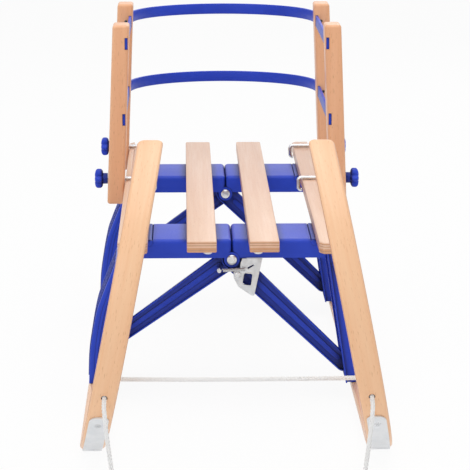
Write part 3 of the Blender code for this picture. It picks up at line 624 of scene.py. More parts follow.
def lathe_y(bm, profile, centre, sides):
    rings = []
    for radius, y in profile:
        if radius == 0.0:
            rings.append([bm.verts.new((centre[0], y, centre[1]))])
            continue
        rings.append([
            bm.verts.new((centre[0] + radius * cos(2 * pi * i / sides), y,
                          centre[1] + radius * sin(2 * pi * i / sides)))
            for i in range(sides)])
    for first, second in zip(rings, rings[1:]):
        for i in range(sides):
            j = (i + 1) % sides
            if len(first) == 1:
                bm.faces.new((first[0], second[j], second[i]))
            elif len(second) == 1:
                bm.faces.new((first[i], first[j], second[0]))
            else:
                bm.faces.new((first[i], first[j], second[j], second[i]))


# %% [markdown]
# ## The braided rope
#
# A braid is eight strands: four wind to the left and four to the right, and each goes over one and
# under the next. Its geometry follows from that rule, so the strands come from two sine waves: one
# carries a strand round the rope, and the other lifts it over and drops it under its neighbours.

# %% Braid
STRAND_PITCH = 0.018
STRAND_CIRCLE = 0.00215
STRAND_LIFT = 0.00030
STRAND_WIDTH = 0.00100
STRAND_HEIGHT = 0.00055
CORE_RADIUS = 0.0019


def frames_along(line):
    frames = []
    normal = Vector((1.0, 0.0, 0.0))
    for i, point in enumerate(line):
        before = line[max(i - 1, 0)]
        after = line[min(i + 1, len(line) - 1)]
        along = (after - before).normalized()
        normal = (normal - along * normal.dot(along)).normalized()
        frames.append((point, normal, along.cross(normal)))
    return frames


def tube_rings(bm, rings):
    made = [[bm.verts.new(p) for p in ring] for ring in rings]
    count = len(made[0])
    for first, second in zip(made, made[1:]):
        for i in range(count):
            j = (i + 1) % count
            bm.faces.new((first[i], first[j], second[j], second[i]))
    bm.faces.new(made[0])
    bm.faces.new(made[-1])


def strand_rings(frames, way, start):
    rings = []
    gone = 0.0
    for i, (point, side, up) in enumerate(frames):
        if i:
            gone += (point - frames[i - 1][0]).length
        turn = way * 2 * pi * gone / STRAND_PITCH + start
        out = side * cos(turn) + up * sin(turn)
        around = up * cos(turn) - side * sin(turn)
        lift = way * STRAND_LIFT * cos(8 * pi * gone / STRAND_PITCH)
        centre = point + out * (STRAND_CIRCLE + lift)
        rings.append([
            centre + around * STRAND_WIDTH * cos(2 * pi * k / 6) + out * STRAND_HEIGHT * sin(2 * pi * k / 6)
            for k in range(6)])
    return rings


def braid(bm):
    frames = frames_along(rope_line)
    core = [[point + (side * cos(2 * pi * k / 8) + up * sin(2 * pi * k / 8)) * CORE_RADIUS
             for k in range(8)] for point, side, up in frames]
    tube_rings(bm, core)
    for way in (-1, 1):
        for k in range(4):
            tube_rings(bm, strand_rings(frames, way, k * pi / 2))


rope = piece_from("tow_rope_braid", braid, rope_white, "left_side", ["tow_rope"])
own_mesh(rope)
print("braid of 8 strands,", len(rope.data.polygons), "faces")

# %% [markdown]
# ## Runners and horns
#
# A runner is one strip of laminated beech, bent into a quarter turn and then into the horn's wider
# arc, all in a plane that leans inwards. It is swept here with a rounded section. Two sets of
# coordinates are stored on the way, along and across the strip, and the wood's grain follows them.

# %% Runner line
RUNNER_WIDTH = 0.032
HORN_RADIUS = 0.235
HORN_TURN = radians(66)
RUNNER_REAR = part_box("left_runner")[1].y
EDGE_RADIUS = 0.0045
SIDES = (("left", -1), ("right", 1))


def runner_stations():
    stations = []
    floor_z = BEND_CENTRE[1] - BEND_RADIUS
    steps = 24
    for i in range(steps):
        y = RUNNER_REAR + (BEND_CENTRE[0] - RUNNER_REAR) * i / steps
        stations.append(((y, floor_z), (0.0, 1.0)))
    for i in range(49):
        turn = pi / 2 * i / 48
        inward = (sin(turn), cos(turn))
        stations.append(((BEND_CENTRE[0] - BEND_RADIUS * sin(turn),
                          BEND_CENTRE[1] - BEND_RADIUS * cos(turn)), inward))
    horn_y = BEND_CENTRE[0] - BEND_RADIUS + HORN_RADIUS
    for i in range(1, 49):
        turn = HORN_TURN * i / 48
        inward = (cos(turn), -sin(turn))
        stations.append(((horn_y - HORN_RADIUS * cos(turn),
                          BEND_CENTRE[1] + HORN_RADIUS * sin(turn)), inward))
    return stations


def section(half_width, half_thick, radius, corner_steps=4):
    radius = min(radius, half_width * 0.98, half_thick * 0.98)
    points = []
    for cx, cy, start in ((1, 1, 0.0), (-1, 1, pi / 2), (-1, -1, pi), (1, -1, 3 * pi / 2)):
        centre = (cx * (half_width - radius), cy * (half_thick - radius))
        points.extend(arc_points(centre, radius, start, start + pi / 2, corner_steps))
    return points


def rounded_end(distance, radius):
    if distance >= radius:
        return 0.0
    return radius - sqrt(max(radius ** 2 - (radius - distance) ** 2, 0.0))


def sweep_panel_strip(bm, side, stations, half_width, half_thick, edge, tip_radius):
    grain = bm.loops.layers.uv.new("grain")
    layer = bm.loops.layers.uv.new("layers")
    length = [0.0]
    for (a, _), (b, _) in zip(stations, stations[1:]):
        length.append(length[-1] + sqrt((a[0] - b[0]) ** 2 + (a[1] - b[1]) ** 2))
    rings = []
    stored = []
    for ((y, z), (ny, nz)), along in zip(stations, length):
        inset = rounded_end(length[-1] - along, tip_radius)
        ring = []
        values = []
        for across, thick in section(half_width - inset, half_thick, edge):
            py = y + ny * thick
            pz = z + nz * thick
            ring.append(bm.verts.new((side * (panel_x(pz) + across), py, pz)))
            values.append((along, across, thick))
        rings.append(ring)
        stored.append(values)
    count = len(rings[0])
    for r in range(len(rings) - 1):
        for i in range(count):
            j = (i + 1) % count
            face = bm.faces.new((rings[r][i], rings[r][j], rings[r + 1][j], rings[r + 1][i]))
            corners = (stored[r][i], stored[r][j], stored[r + 1][j], stored[r + 1][i])
            for loop, (along, across, thick) in zip(face.loops, corners):
                loop[grain].uv = (along, across)
                loop[layer].uv = (along, thick)
    for r in (0, len(rings) - 1):
        face = bm.faces.new(rings[r])
        for loop, (along, across, thick) in zip(face.loops, stored[r]):
            loop[grain].uv = (along, across)
            loop[layer].uv = (along, thick)


def with_fine_end(stations, tip_radius, steps=8):
    (a, _), (b, last) = stations[-2], stations[-1]
    gap = sqrt((a[0] - b[0]) ** 2 + (a[1] - b[1]) ** 2)
    kept = stations[:-1]
    while kept and sqrt((kept[-1][0][0] - b[0]) ** 2 + (kept[-1][0][1] - b[1]) ** 2) < tip_radius * 0.9:
        kept = kept[:-1]
    direction = ((b[0] - a[0]) / gap, (b[1] - a[1]) / gap)
    for i in range(steps + 1):
        back = tip_radius * (1 - sin(pi / 2 * i / steps))
        kept.append(((b[0] - direction[0] * back, b[1] - direction[1] * back), last))
    return kept


# %% Runners
HORN_TIP_RADIUS = 0.0042
ROPE_HOLE_RADIUS = 0.004
ROPE_HOLE_REACH = 0.02


def make_runner(label, side):
    stations = with_fine_end(runner_stations(), HORN_TIP_RADIUS)

    def strip(bm):
        sweep_panel_strip(bm, side, stations, RUNNER_WIDTH / 2, RUNNER_THICK / 2, EDGE_RADIUS,
                          HORN_TIP_RADIUS)

    runner = piece_from(f"{label}_runner_wood", strip, bent_wood, f"{label}_side",
                        [f"{label}_runner"])
    start = Vector(in_rope_hole(-ROPE_HOLE_REACH))
    end = Vector(in_rope_hole(ROPE_HOLE_REACH))
    boolean(runner, lambda bm: rod_between(
        bm, (side * start.x, start.y, start.z), (side * end.x, end.y, end.z), ROPE_HOLE_RADIUS))
    return runner


for side_name, side_sign in SIDES:
    made = make_runner(side_name, side_sign)
    print(made.name, len(made.data.polygons), "faces")

# %% [markdown]
# ## Skids
#
# The skid is a steel strip screwed under the runner and bent up with it. Its front end is rounded and
# held by a countersunk screw, and more screws hold it along the flat part, set in below its surface.

# %% Skids and their screws
SKID_WIDTH = 0.024
SKID_THICK = 0.0025
SKID_GAP = 0.0003
SKID_TURN = radians(56)
SKID_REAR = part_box("left_skid")[1].y
SKID_END_RADIUS = 0.0085
SKID_SCREW_TURN = radians(51)
SKID_SCREW_RADIUS = 0.0042
SKID_EDGE = 0.0007
SCREW_SET_IN = 0.0004
SCREW_HEAD_DEPTH = 0.0018
SCREW_SLOT_REACH = 0.0026
SCREW_SLOT_RADIUS = 0.0007
UNDER_SCREW_PLACES = (-0.30, 0.02, 0.30, 0.49)


def skid_stations():
    radius = BEND_RADIUS + RUNNER_THICK / 2 + SKID_GAP + SKID_THICK / 2
    stations = [((SKID_REAR, BEND_CENTRE[1] - radius), (0.0, 1.0))]
    for i in range(41):
        turn = SKID_TURN * i / 40
        stations.append(((BEND_CENTRE[0] - radius * sin(turn), BEND_CENTRE[1] - radius * cos(turn)),
                         (sin(turn), cos(turn))))
    return stations


def bend_place(side, turn, radius):
    y = BEND_CENTRE[0] - radius * sin(turn)
    z = BEND_CENTRE[1] - radius * cos(turn)
    return Vector((side * panel_x(z), y, z))


def countersunk_screw(bm, start, outward, radius, depth):
    rod_between(bm, start - outward * depth, start, radius * 0.5, 32, radius)


def make_skid(label, side):
    stations = with_fine_end(skid_stations(), SKID_END_RADIUS, 10)

    def strip(bm):
        sweep_panel_strip(bm, side, stations, SKID_WIDTH / 2, SKID_THICK / 2, SKID_EDGE,
                          SKID_END_RADIUS)

    skid = piece_from(f"{label}_skid_strip", strip, skid_steel, f"{label}_side",
                      [f"{label}_skid"])
    face = BEND_RADIUS + RUNNER_THICK / 2 + SKID_GAP + SKID_THICK
    front = bend_place(side, SKID_SCREW_TURN, face)
    front_out = (front - bend_place(side, SKID_SCREW_TURN, face - 0.01)).normalized()
    places = [(front, front_out)]
    places += [(Vector((side * panel_x(0.0), y, 0.0)), Vector((0, 0, -1))) for y in UNDER_SCREW_PLACES]

    def recesses(bm):
        for place, outward in places:
            rod_between(bm, place - outward * SKID_THICK * 1.4, place + outward * 0.0005,
                        SKID_SCREW_RADIUS * 0.55, 32, SKID_SCREW_RADIUS * 1.12)

    def screws(bm):
        for place, outward in places:
            countersunk_screw(bm, place - outward * SCREW_SET_IN, outward, SKID_SCREW_RADIUS,
                              SCREW_HEAD_DEPTH)

    def slots(bm, turn):
        for place, outward in places:
            way = Matrix.Rotation(turn, 3, outward) @ outward.orthogonal().normalized()
            middle = place - outward * SCREW_SET_IN
            rod_between(bm, middle - way * SCREW_SLOT_REACH, middle + way * SCREW_SLOT_REACH,
                        SCREW_SLOT_RADIUS, 8)

    boolean(skid, recesses)
    heads = piece_from(f"{label}_skid_screws", screws, zinc, f"{label}_side",
                       [f"{label}_skid_screw"])
    boolean(heads, lambda bm: slots(bm, 0.0))
    boolean(heads, lambda bm: slots(bm, pi / 2))
    return skid


for side_name, side_sign in SIDES:
    made = make_skid(side_name, side_sign)
    print(made.name, "with", len(UNDER_SCREW_PLACES) + 1, "screws")

# %% [markdown]
# ## Slats
#
# The four slats are plywood strips with lightly rounded edges. The two side slats have cut corners and a
# long groove near their outer edge. Under each middle slat's front end sits a pale round stud, made of
# rings whose radius shrinks slowly at first, which gives the flat shoulder of a pressed cap.

# %% Slats
SLAT_EDGE = 0.0018
SIDE_CORNER_ALONG = 0.009
SIDE_CORNER_ACROSS = 0.0054
GROOVE_OUT = 0.0086
GROOVE_WIDTH = 0.006
GROOVE_DEPTH = 0.004
STUD_SIDES = 32
STUD_STEPS = 12
STUD_SHOULDER = 0.6


def slat_piece(node, body, corner_along, corner_across):
    low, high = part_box(node)
    x0, y0 = low.x, low.y
    x1, y1 = high.x, high.y
    outline = [(x0, y0), (x1, y0), (x1, y1), (x0, y1)]
    if corner_along:
        outline = [(x0 + corner_across, y0), (x1 - corner_across, y0), (x1, y0 + corner_along),
                   (x1, y1 - corner_along), (x1 - corner_across, y1), (x0 + corner_across, y1),
                   (x0, y1 - corner_along), (x0, y0 + corner_along)]
    slat = piece_from(f"{node}_board", lambda bm: prism_z(bm, outline, low.z, high.z), slat_wood,
                      body, [node])
    rounded(slat, SLAT_EDGE, 4, 30)
    return slat


def make_side_slat(label, side):
    node = f"{label}_side_slat"
    slat = slat_piece(node, f"{label}_side", SIDE_CORNER_ALONG, SIDE_CORNER_ACROSS)
    low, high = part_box(node)
    middle = (low.x + high.x) / 2 + side * GROOVE_OUT

    def groove(bm):
        box_between(bm, (middle - GROOVE_WIDTH / 2, low.y - 0.01, high.z - GROOVE_DEPTH),
                    (middle + GROOVE_WIDTH / 2, high.y + 0.01, high.z + 0.01))

    boolean(slat, groove)


def make_stud(label):
    node = f"{label}_slat_stud"
    low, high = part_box(node)
    x = (low.x + high.x) / 2
    y = (low.y + high.y) / 2
    radius = (high.x - low.x) / 2
    height = high.z - low.z

    def stud(bm):
        rings = []
        for i in range(STUD_STEPS):
            turn = pi / 2 * i / STUD_STEPS
            reach = radius * cos(turn) ** STUD_SHOULDER
            z = high.z - height * sin(turn)
            rings.append([(x + reach * cos(2 * pi * k / STUD_SIDES),
                           y + reach * sin(2 * pi * k / STUD_SIDES), z) for k in range(STUD_SIDES)])
        tube_rings(bm, rings)

    piece_from(f"{label}_stud", stud, skid_steel, f"{label}_half", [node])


for side_name, side_sign in SIDES:
    make_side_slat(side_name, side_sign)
    slat_piece(f"{side_name}_middle_slat", f"{side_name}_half", 0, 0)
    make_stud(side_name)
print("four slats and two studs")

# %% [markdown]
# ## Crossbars
#
# Each crossbar is folded sheet steel in two halves that meet in the middle, and reaches out over the
# legs' hinges. A half starts as a plain box. Its top and seam edges get a soft radius from a weighted
# bevel, because sheet never folds to a sharp corner. The round lobe for the centre pin is joined on only
# after that: a bevel gives way to the shortest edge it meets, so the lobe's small faces would hold the
# fold back to almost nothing. Booleans then hollow the box into sheet.

# %% Crossbar values
GAP = 0.0003
CUT = 0.010
BAR_FRONT_Y = -0.21325
BAR_REAR_Y = 0.26275
BAR_DEPTH = 0.112
BAR_TOP = 0.2225
BAR_UNDER = 0.197
BAR_WALL = 0.002
BAR_PAD_X = 0.030
BAR_END_X = 0.1056
LAYER = BAR_WALL + GAP
LOBE_RADIUS = 0.0105
LOBE_SIDES = 96
CENTRE_PIN_Z = 0.1945
CENTRE_PIN_RADIUS = 0.004
CENTRE_PIN_HEAD = 0.0068
SIDE_HINGE_X = 0.110
SIDE_HINGE_Z = 0.218
HINGE_KNUCKLE = 0.0042
HINGE_PIN_RADIUS = 0.0025
HINGE_PIN_HEAD = 0.0038
FOLD_RADIUS = 0.0055
BAR_WING_X = 0.1258
SEAM_WALL = 0.004
BARS = (("front", BAR_FRONT_Y), ("rear", BAR_REAR_Y))


def weigh_edges(bm, wanted):
    weight = bm.edges.layers.float.new("bevel_weight_edge")
    for edge in bm.edges:
        edge[weight] = wanted(*[vert.co for vert in edge.verts])


def rounded_by_weight(thing, width, segments):
    add_bevel(thing, width, segments).limit_method = "WEIGHT"
    settle(thing)


# %% Crossbars
def make_bar_half(label, side, bar, y0):
    y1 = y0 + BAR_DEPTH
    pad = BAR_WALL if label == "left" else LAYER + BAR_WALL

    def fold_weight(a, b):
        top = min(a.z, b.z) > BAR_TOP - 1e-5
        seam = max(abs(a.x), abs(b.x)) < GAP
        along = abs(a.y - b.y) < 1e-5
        upright = abs(a.z - b.z) > GAP
        return 1.0 if (top and (along or seam)) or (seam and upright) else 0.0

    def shell(bm):
        box_between(bm, (side * GAP / 2, y0, BAR_UNDER), (side * BAR_WING_X, y1, BAR_TOP))
        weigh_edges(bm, fold_weight)

    def lobe(bm):
        rod_between(bm, (0, y0, CENTRE_PIN_Z), (0, y1, CENTRE_PIN_Z), LOBE_RADIUS, LOBE_SIDES)

    def pocket(bm):
        start = side * -BAR_PAD_X
        step = side * BAR_PAD_X
        end = side * (SIDE_HINGE_X + BAR_PAD_X)
        outline = [(start, y0 + pad), (step, y0 + pad)]
        if pad > BAR_WALL:
            outline += [(step, y0 + BAR_WALL)]
        outline += [(end, y0 + BAR_WALL), (end, y1 - BAR_WALL)]
        if pad > BAR_WALL:
            outline += [(step, y1 - BAR_WALL)]
        outline += [(step, y1 - pad), (start, y1 - pad)]
        prism_z(bm, outline, CENTRE_PIN_Z - LOBE_RADIUS - CUT, CENTRE_PIN_Z + LOBE_RADIUS)

    # Above the lobes the room stops short of the seam, so each half keeps an end wall there
    def upper_room(bm):
        box_between(bm, (side * SEAM_WALL, y0 + 2 * BAR_WALL, CENTRE_PIN_Z),
                    (side * (SIDE_HINGE_X + BAR_PAD_X), y1 - 2 * BAR_WALL, BAR_TOP - 1.5 * BAR_WALL))

    def hinge_room(bm):
        box_between(bm, (side * BAR_END_X, y0 + BAR_WALL, BAR_UNDER - CUT),
                    (side * (SIDE_HINGE_X + BAR_PAD_X), y1 - BAR_WALL, BAR_TOP + CUT))

    def holes(bm):
        rod_between(bm, (0, y0 - CUT, CENTRE_PIN_Z), (0, y1 + CUT, CENTRE_PIN_Z),
                    CENTRE_PIN_RADIUS + GAP)
        x = side * SIDE_HINGE_X
        rod_between(bm, (x, y0 - CUT, SIDE_HINGE_Z), (x, y1 + CUT, SIDE_HINGE_Z),
                    HINGE_PIN_RADIUS + GAP)

    def relief(bm):
        radius = LOBE_RADIUS + 2 * GAP
        for low, high in ((y0 - CUT, y0 + LAYER), (y1 - LAYER, y1 + CUT)):
            rod_between(bm, (0, low, CENTRE_PIN_Z), (0, high, CENTRE_PIN_Z), radius, LOBE_SIDES)

    node = f"{label}_{bar}_crossbar"
    half_bar = piece_from(f"{node}_sheet", shell, blue_paint, f"{label}_half", [node])
    rounded_by_weight(half_bar, FOLD_RADIUS, 6)
    boolean(half_bar, lobe, "UNION")
    boolean(half_bar, pocket)
    boolean(half_bar, upper_room)
    boolean(half_bar, hinge_room)
    boolean(half_bar, holes)
    if label == "right":
        boolean(half_bar, relief)
    return half_bar


for side_name, side_sign in SIDES:
    for bar_name, bar_place in BARS:
        made = make_bar_half(side_name, side_sign, bar_name, bar_place)
        print(made.name, len(made.data.polygons), "faces")

# %% [markdown]
# ## Pins with domed heads
#
# A rivet is turned round its own axis, so one profile describes all of it. A dome follows a sine above a
# short straight rim, which gives one clear highlight rather than a ring of facets. The centre rivets are
# bare zinc, and the hinge rivets were painted together with the bars.

# %% Pins
PIN_SIDES = 48
CROWN_SHARE = 0.35
DOME_RIM = 0.2


def dome(radius, height, y, way, steps=8):
    points = []
    for i in range(steps + 1):
        turn = pi / 2 * i / steps
        rise = DOME_RIM + (1 - DOME_RIM) * sin(turn)
        points.append((radius * cos(turn) if i < steps else 0.0, y + way * height * rise))
    return points


def two_headed_pin(node, body, x, z, radius, head, y0, y1, nodes, finish=zinc):
    crown = head * CROWN_SHARE
    front = list(reversed(dome(head, crown, y0 - GAP, -1)))
    back = dome(head, crown, y1 + GAP, 1)
    profile = front + [(head, y0 - GAP), (radius, y0 - GAP), (radius, y1 + GAP), (head, y1 + GAP)] + back
    return piece_from(node, lambda bm: lathe_y(bm, profile, (x, z), PIN_SIDES), finish, body,
                      nodes)


for bar_name, bar_place in BARS:
    far = bar_place + BAR_DEPTH
    two_headed_pin(f"{bar_name}_centre_rivet", "left_half", 0.0, CENTRE_PIN_Z, CENTRE_PIN_RADIUS,
                   CENTRE_PIN_HEAD, bar_place, far, [f"{bar_name}_centre_pin"])
    for side_name, side_sign in SIDES:
        two_headed_pin(f"{side_name}_{bar_name}_hinge_rivet", f"{side_name}_side",
                       side_sign * SIDE_HINGE_X, SIDE_HINGE_Z, HINGE_PIN_RADIUS, HINGE_PIN_HEAD,
                       bar_place, far, [f"{side_name}_{bar_name}_hinge_pin"], blue_paint)
print("two centre rivets and four hinge rivets")

# %% [markdown]
# ## Legs
#
# A leg is a pressed trough that bows outwards and ends in a foot on the runner. Its curve comes from
# measured bulges, joined by a smooth line that passes through all of them. A flat rim along the open
# side stiffens it, and the deep drawn edges have a generous radius. The top is rolled into a barrel
# round the hinge pin. Pressed ribs on the walls and on the outer face come last, so that no earlier step
# rounds them away.

# %% Legs
LEG_WALL = 0.002
LEG_RIM = 0.0045
LEG_SLOPE = 0.15
LEG_INNER_TOP_X = 0.1249
LEG_BOW = ((0.0211, 0.0), (0.0280, 0.037), (0.0385, 0.079), (0.0430, 0.104), (0.0440, 0.151))
LEG_FOOT_BULGE = 0.0390
LEG_TOP = 0.2222
LEG_FOOT = 0.0231
LEG_DRAW_RADIUS = 0.0032
LEG_RIB_INSETS = (0.009, 0.021)
LEG_RIB_WIDTH = 0.0035
LEG_RIB_HEIGHT = 0.0012
LEG_RIB_TOP = 0.190
LEG_RIB_FOOT = 0.008
LEG_BOW_STEPS = 12
LEG_OUTER_FROM = 0.012
LEG_INNER_FOLD = 0.12
LEG_RIB_SHARES = (0.16, 0.39, 0.61, 0.84)


def leg_inner_x(z):
    return LEG_INNER_TOP_X + LEG_SLOPE * (LEG_TOP - z)


def leg_bow():
    points = [(leg_inner_x(LEG_TOP - drop) + bulge, LEG_TOP - drop) for bulge, drop in LEG_BOW]
    points.append((leg_inner_x(LEG_FOOT) + LEG_FOOT_BULGE, LEG_FOOT))
    return smooth_line(points, LEG_BOW_STEPS)


def make_leg(label, side, bar, bar_y):
    y0 = bar_y + LAYER
    y1 = bar_y + BAR_DEPTH - LAYER
    bow = leg_bow()
    nose_under = SIDE_HINGE_Z - HINGE_KNUCKLE
    knuckle = arc_points((SIDE_HINGE_X, SIDE_HINGE_Z), HINGE_KNUCKLE, pi / 2, 3 * pi / 2, 20)

    def draw_weight(a, b):
        along = abs(a.y - b.y) < 1e-5
        outer = min(abs(a.x), abs(b.x)) > leg_inner_x(min(a.z, b.z)) + LEG_OUTER_FROM
        return 1.0 if along and outer else (LEG_INNER_FOLD if along else 0.0)

    def body(bm):
        outline = [(side * x, z) for x, z in bow]
        outline.append((side * leg_inner_x(LEG_FOOT), LEG_FOOT))
        outline.append((side * leg_inner_x(nose_under), nose_under))
        outline.extend((side * x, z) for x, z in reversed(knuckle))
        prism_y(bm, outline, y0, y1)
        weigh_edges(bm, draw_weight)

    def rim(bm):
        low = LEG_FOOT
        high = nose_under - LEG_WALL / 2
        outline = [(leg_inner_x(low), low), (leg_inner_x(low) + LEG_WALL, low),
                   (leg_inner_x(high) + LEG_WALL, high), (leg_inner_x(high), high)]
        prism_y(bm, [(side * x, z) for x, z in outline], y0 - LEG_RIM, y1 + LEG_RIM)

    def pocket(bm):
        outline = [(side * (x - LEG_WALL), min(z, LEG_TOP - LEG_WALL)) for x, z in bow]
        outline[-1] = (outline[-1][0], LEG_FOOT + LEG_WALL)
        inside = SIDE_HINGE_X - 3 * CUT
        outline.append((side * inside, LEG_FOOT + LEG_WALL))
        outline.append((side * inside, LEG_TOP + CUT))
        outline.append((side * LEG_INNER_TOP_X, LEG_TOP + CUT))
        outline.append((side * LEG_INNER_TOP_X, LEG_TOP - LEG_WALL))
        prism_y(bm, outline, y0 + LEG_WALL, y1 - LEG_WALL)

    def hole(bm):
        x = side * SIDE_HINGE_X
        rod_between(bm, (x, y0 - CUT, SIDE_HINGE_Z), (x, y1 + CUT, SIDE_HINGE_Z),
                    HINGE_PIN_RADIUS + GAP)

    def barrel(bm):
        x = side * SIDE_HINGE_X
        rod_between(bm, (x, y0 + LEG_WALL / 2, SIDE_HINGE_Z), (x, y1 - LEG_WALL / 2, SIDE_HINGE_Z),
                    HINGE_KNUCKLE, 48)

    # The leg's top is rolled round the barrel
    def leaf(bm):
        box_between(bm, (side * SIDE_HINGE_X, y0 + LEG_WALL / 2, LEG_TOP - LEG_WALL),
                    (side * (LEG_INNER_TOP_X + LEG_WALL), y1 - LEG_WALL / 2, LEG_TOP))

    # Two pressed ribs follow the bow on each wall
    def ribs(bm):
        for inset in LEG_RIB_INSETS:
            line = [(x - inset, z) for x, z in bow if LEG_FOOT + LEG_RIB_FOOT < z < LEG_RIB_TOP]
            outline = [(side * (x + LEG_RIB_WIDTH / 2), z) for x, z in line]
            outline += [(side * (x - LEG_RIB_WIDTH / 2), z) for x, z in reversed(line)]
            prism_y(bm, outline, y0 - LEG_RIB_HEIGHT, y0 + LEG_WALL / 2)
            prism_y(bm, outline, y1 - LEG_WALL / 2, y1 + LEG_RIB_HEIGHT)

    def outer_ribs(bm):
        line = [(x, z) for x, z in bow if LEG_FOOT + LEG_RIB_FOOT < z < LEG_RIB_TOP]
        outline = [(side * (x + LEG_RIB_HEIGHT), z) for x, z in line]
        outline += [(side * (x - LEG_WALL / 2), z) for x, z in reversed(line)]
        for share in LEG_RIB_SHARES:
            y = y0 + (y1 - y0) * share
            prism_y(bm, outline, y - LEG_RIB_WIDTH, y + LEG_RIB_WIDTH)

    node = f"{label}_{bar}_leg"
    leg = piece_from(f"{node}_pressing", body, blue_paint, f"{label}_side", [node])
    rounded_by_weight(leg, LEG_DRAW_RADIUS, 4)
    boolean(leg, rim, "UNION")
    boolean(leg, pocket)
    boolean(leg, barrel, "UNION")
    boolean(leg, leaf, "UNION")
    boolean(leg, hole)
    boolean(leg, ribs, "UNION")
    boolean(leg, outer_ribs, "UNION")
    return leg


for side_name, side_sign in SIDES:
    for bar_name, bar_place in BARS:
        made = make_leg(side_name, side_sign, bar_name, bar_place)
        print(made.name, len(made.data.polygons), "faces")

# %% [markdown]
# ## Braces
#
# A brace is a channel, open to the front, that runs from the centre pin down into a leg. Its walls are
# softened at the rim, and a pressed bead runs along the web between them.

# %% Braces
BRACE_WIDTH = 0.028
BRACE_TIP_WIDTH = 0.021
BRACE_DEPTH = 0.009
BRACE_WALL = 0.0018
BRACES = {
    "left": (2 * LAYER + BRACE_DEPTH + GAP, radians(35.5), 0.1777),
    "right": (2 * LAYER, radians(44.0), 0.2104),
}
BEAD_HALF_WIDTH = 0.0038
BEAD_HEIGHT = 0.0014
BRACE_EDGE = 0.0011
BRACE_RIM_EDGE = 0.00035


def make_brace(label, side, bar, bar_y):
    layer, angle, length = BRACES[label]
    y0 = bar_y + layer
    y1 = y0 + BRACE_DEPTH
    half_width = BRACE_WIDTH / 2
    tip_half = BRACE_TIP_WIDTH / 2

    def place(along, across):
        x = along * cos(angle) + across * sin(angle)
        z = -along * sin(angle) + across * cos(angle)
        return side * x, CENTRE_PIN_Z + z

    def stadium(start, first, end, last):
        points = [place(a, c) for a, c in arc_points((start, 0), first, pi / 2, 3 * pi / 2, 24)]
        points += [place(a, c) for a, c in arc_points((end, 0), last, -pi / 2, pi / 2, 24)]
        return points

    def body(bm):
        prism_y(bm, stadium(0, half_width, length, tip_half), y0, y1)

    def pocket(bm):
        prism_y(bm, stadium(0, half_width - BRACE_WALL, length, tip_half - BRACE_WALL),
                y0 - CUT, y1 - BRACE_WALL)

    def hole(bm):
        rod_between(bm, (0, y0 - CUT, CENTRE_PIN_Z), (0, y1 + CUT, CENTRE_PIN_Z),
                    CENTRE_PIN_RADIUS + GAP)

    def bead(bm):
        start = half_width + BEAD_HALF_WIDTH * 1.8
        prism_y(bm, stadium(start, BEAD_HALF_WIDTH, length - tip_half, BEAD_HALF_WIDTH * 0.85),
                y1 - BRACE_WALL - BEAD_HEIGHT, y1 - BRACE_WALL / 2)

    node = f"{label}_{bar}_brace"
    brace = piece_from(f"{node}_channel", body, blue_paint, f"{label}_braces", [node])
    rounded(brace, BRACE_EDGE, 4)
    boolean(brace, pocket)
    boolean(brace, bead, "UNION")
    boolean(brace, hole)
    rounded(brace, BRACE_RIM_EDGE, 2, 60)
    return brace


for side_name, side_sign in SIDES:
    for bar_name, bar_place in BARS:
        made = make_brace(side_name, side_sign, bar_name, bar_place)
        print(made.name, len(made.data.polygons), "faces")

# %% [markdown]
# ## Latch and spring
#
# The latch is a stamped zinc plate with a bent lip round its window. A pull spring runs from a pin on
# the left brace to a slit in the plate: one eye, a close coil and a hook.

# %% Latch values and plate
SEAT_HEIGHT = 0.238
LATCH_Y = BAR_FRONT_Y - LAYER
LATCH_BOSS = (0.0077, SEAT_HEIGHT - 0.0635)
LATCH_OUTLINE = (
    (0.0140, -0.0413), (0.0410, -0.0413), (0.0365, -0.0620), (0.0300, -0.0925), (0.0265, -0.0925),
    (0.0085, -0.0800), (0.0022, -0.0675), (0.0022, -0.0600), (0.0065, -0.0565),
    (0.0108, -0.0545), (0.0118, -0.0470))
LATCH_WINDOW = ((0.0165, -0.0610), (0.0275, -0.0625), (0.0255, -0.0785), (0.0140, -0.0765))
LATCH_SLIT = ((0.0210, -0.0533), (0.0290, -0.0495), (0.0300, -0.0510), (0.0215, -0.0560))
LIP_WIDTH = 0.0013
LIP_HEIGHT = 0.0011
PLATE_CORNER = 0.0009
WINDOW_CORNER = 0.0025
LATCH_HOLE_RADIUS = 0.0028
STAMPED_EDGE = 0.0003


def seat_outline(outline):
    return [(x, SEAT_HEIGHT + z) for x, z in outline]


def grown(outline, amount):
    centre_x = sum(x for x, z in outline) / len(outline)
    centre_z = sum(z for x, z in outline) / len(outline)
    points = []
    for x, z in outline:
        reach = sqrt((x - centre_x) ** 2 + (z - centre_z) ** 2)
        points.append((x + (x - centre_x) / reach * amount, z + (z - centre_z) / reach * amount))
    return points


def soft_corners(outline, radius, steps=5):
    points = []
    for i, corner in enumerate(outline):
        here = Vector(corner)
        before = Vector(outline[i - 1])
        after = Vector(outline[(i + 1) % len(outline)])
        reach = min(radius, (before - here).length * 0.45, (after - here).length * 0.45)
        start = here + (before - here).normalized() * reach
        end = here + (after - here).normalized() * reach
        for k in range(steps + 1):
            t = k / steps
            points.append(tuple((1 - t) ** 2 * start + 2 * t * (1 - t) * here + t ** 2 * end))
    return points


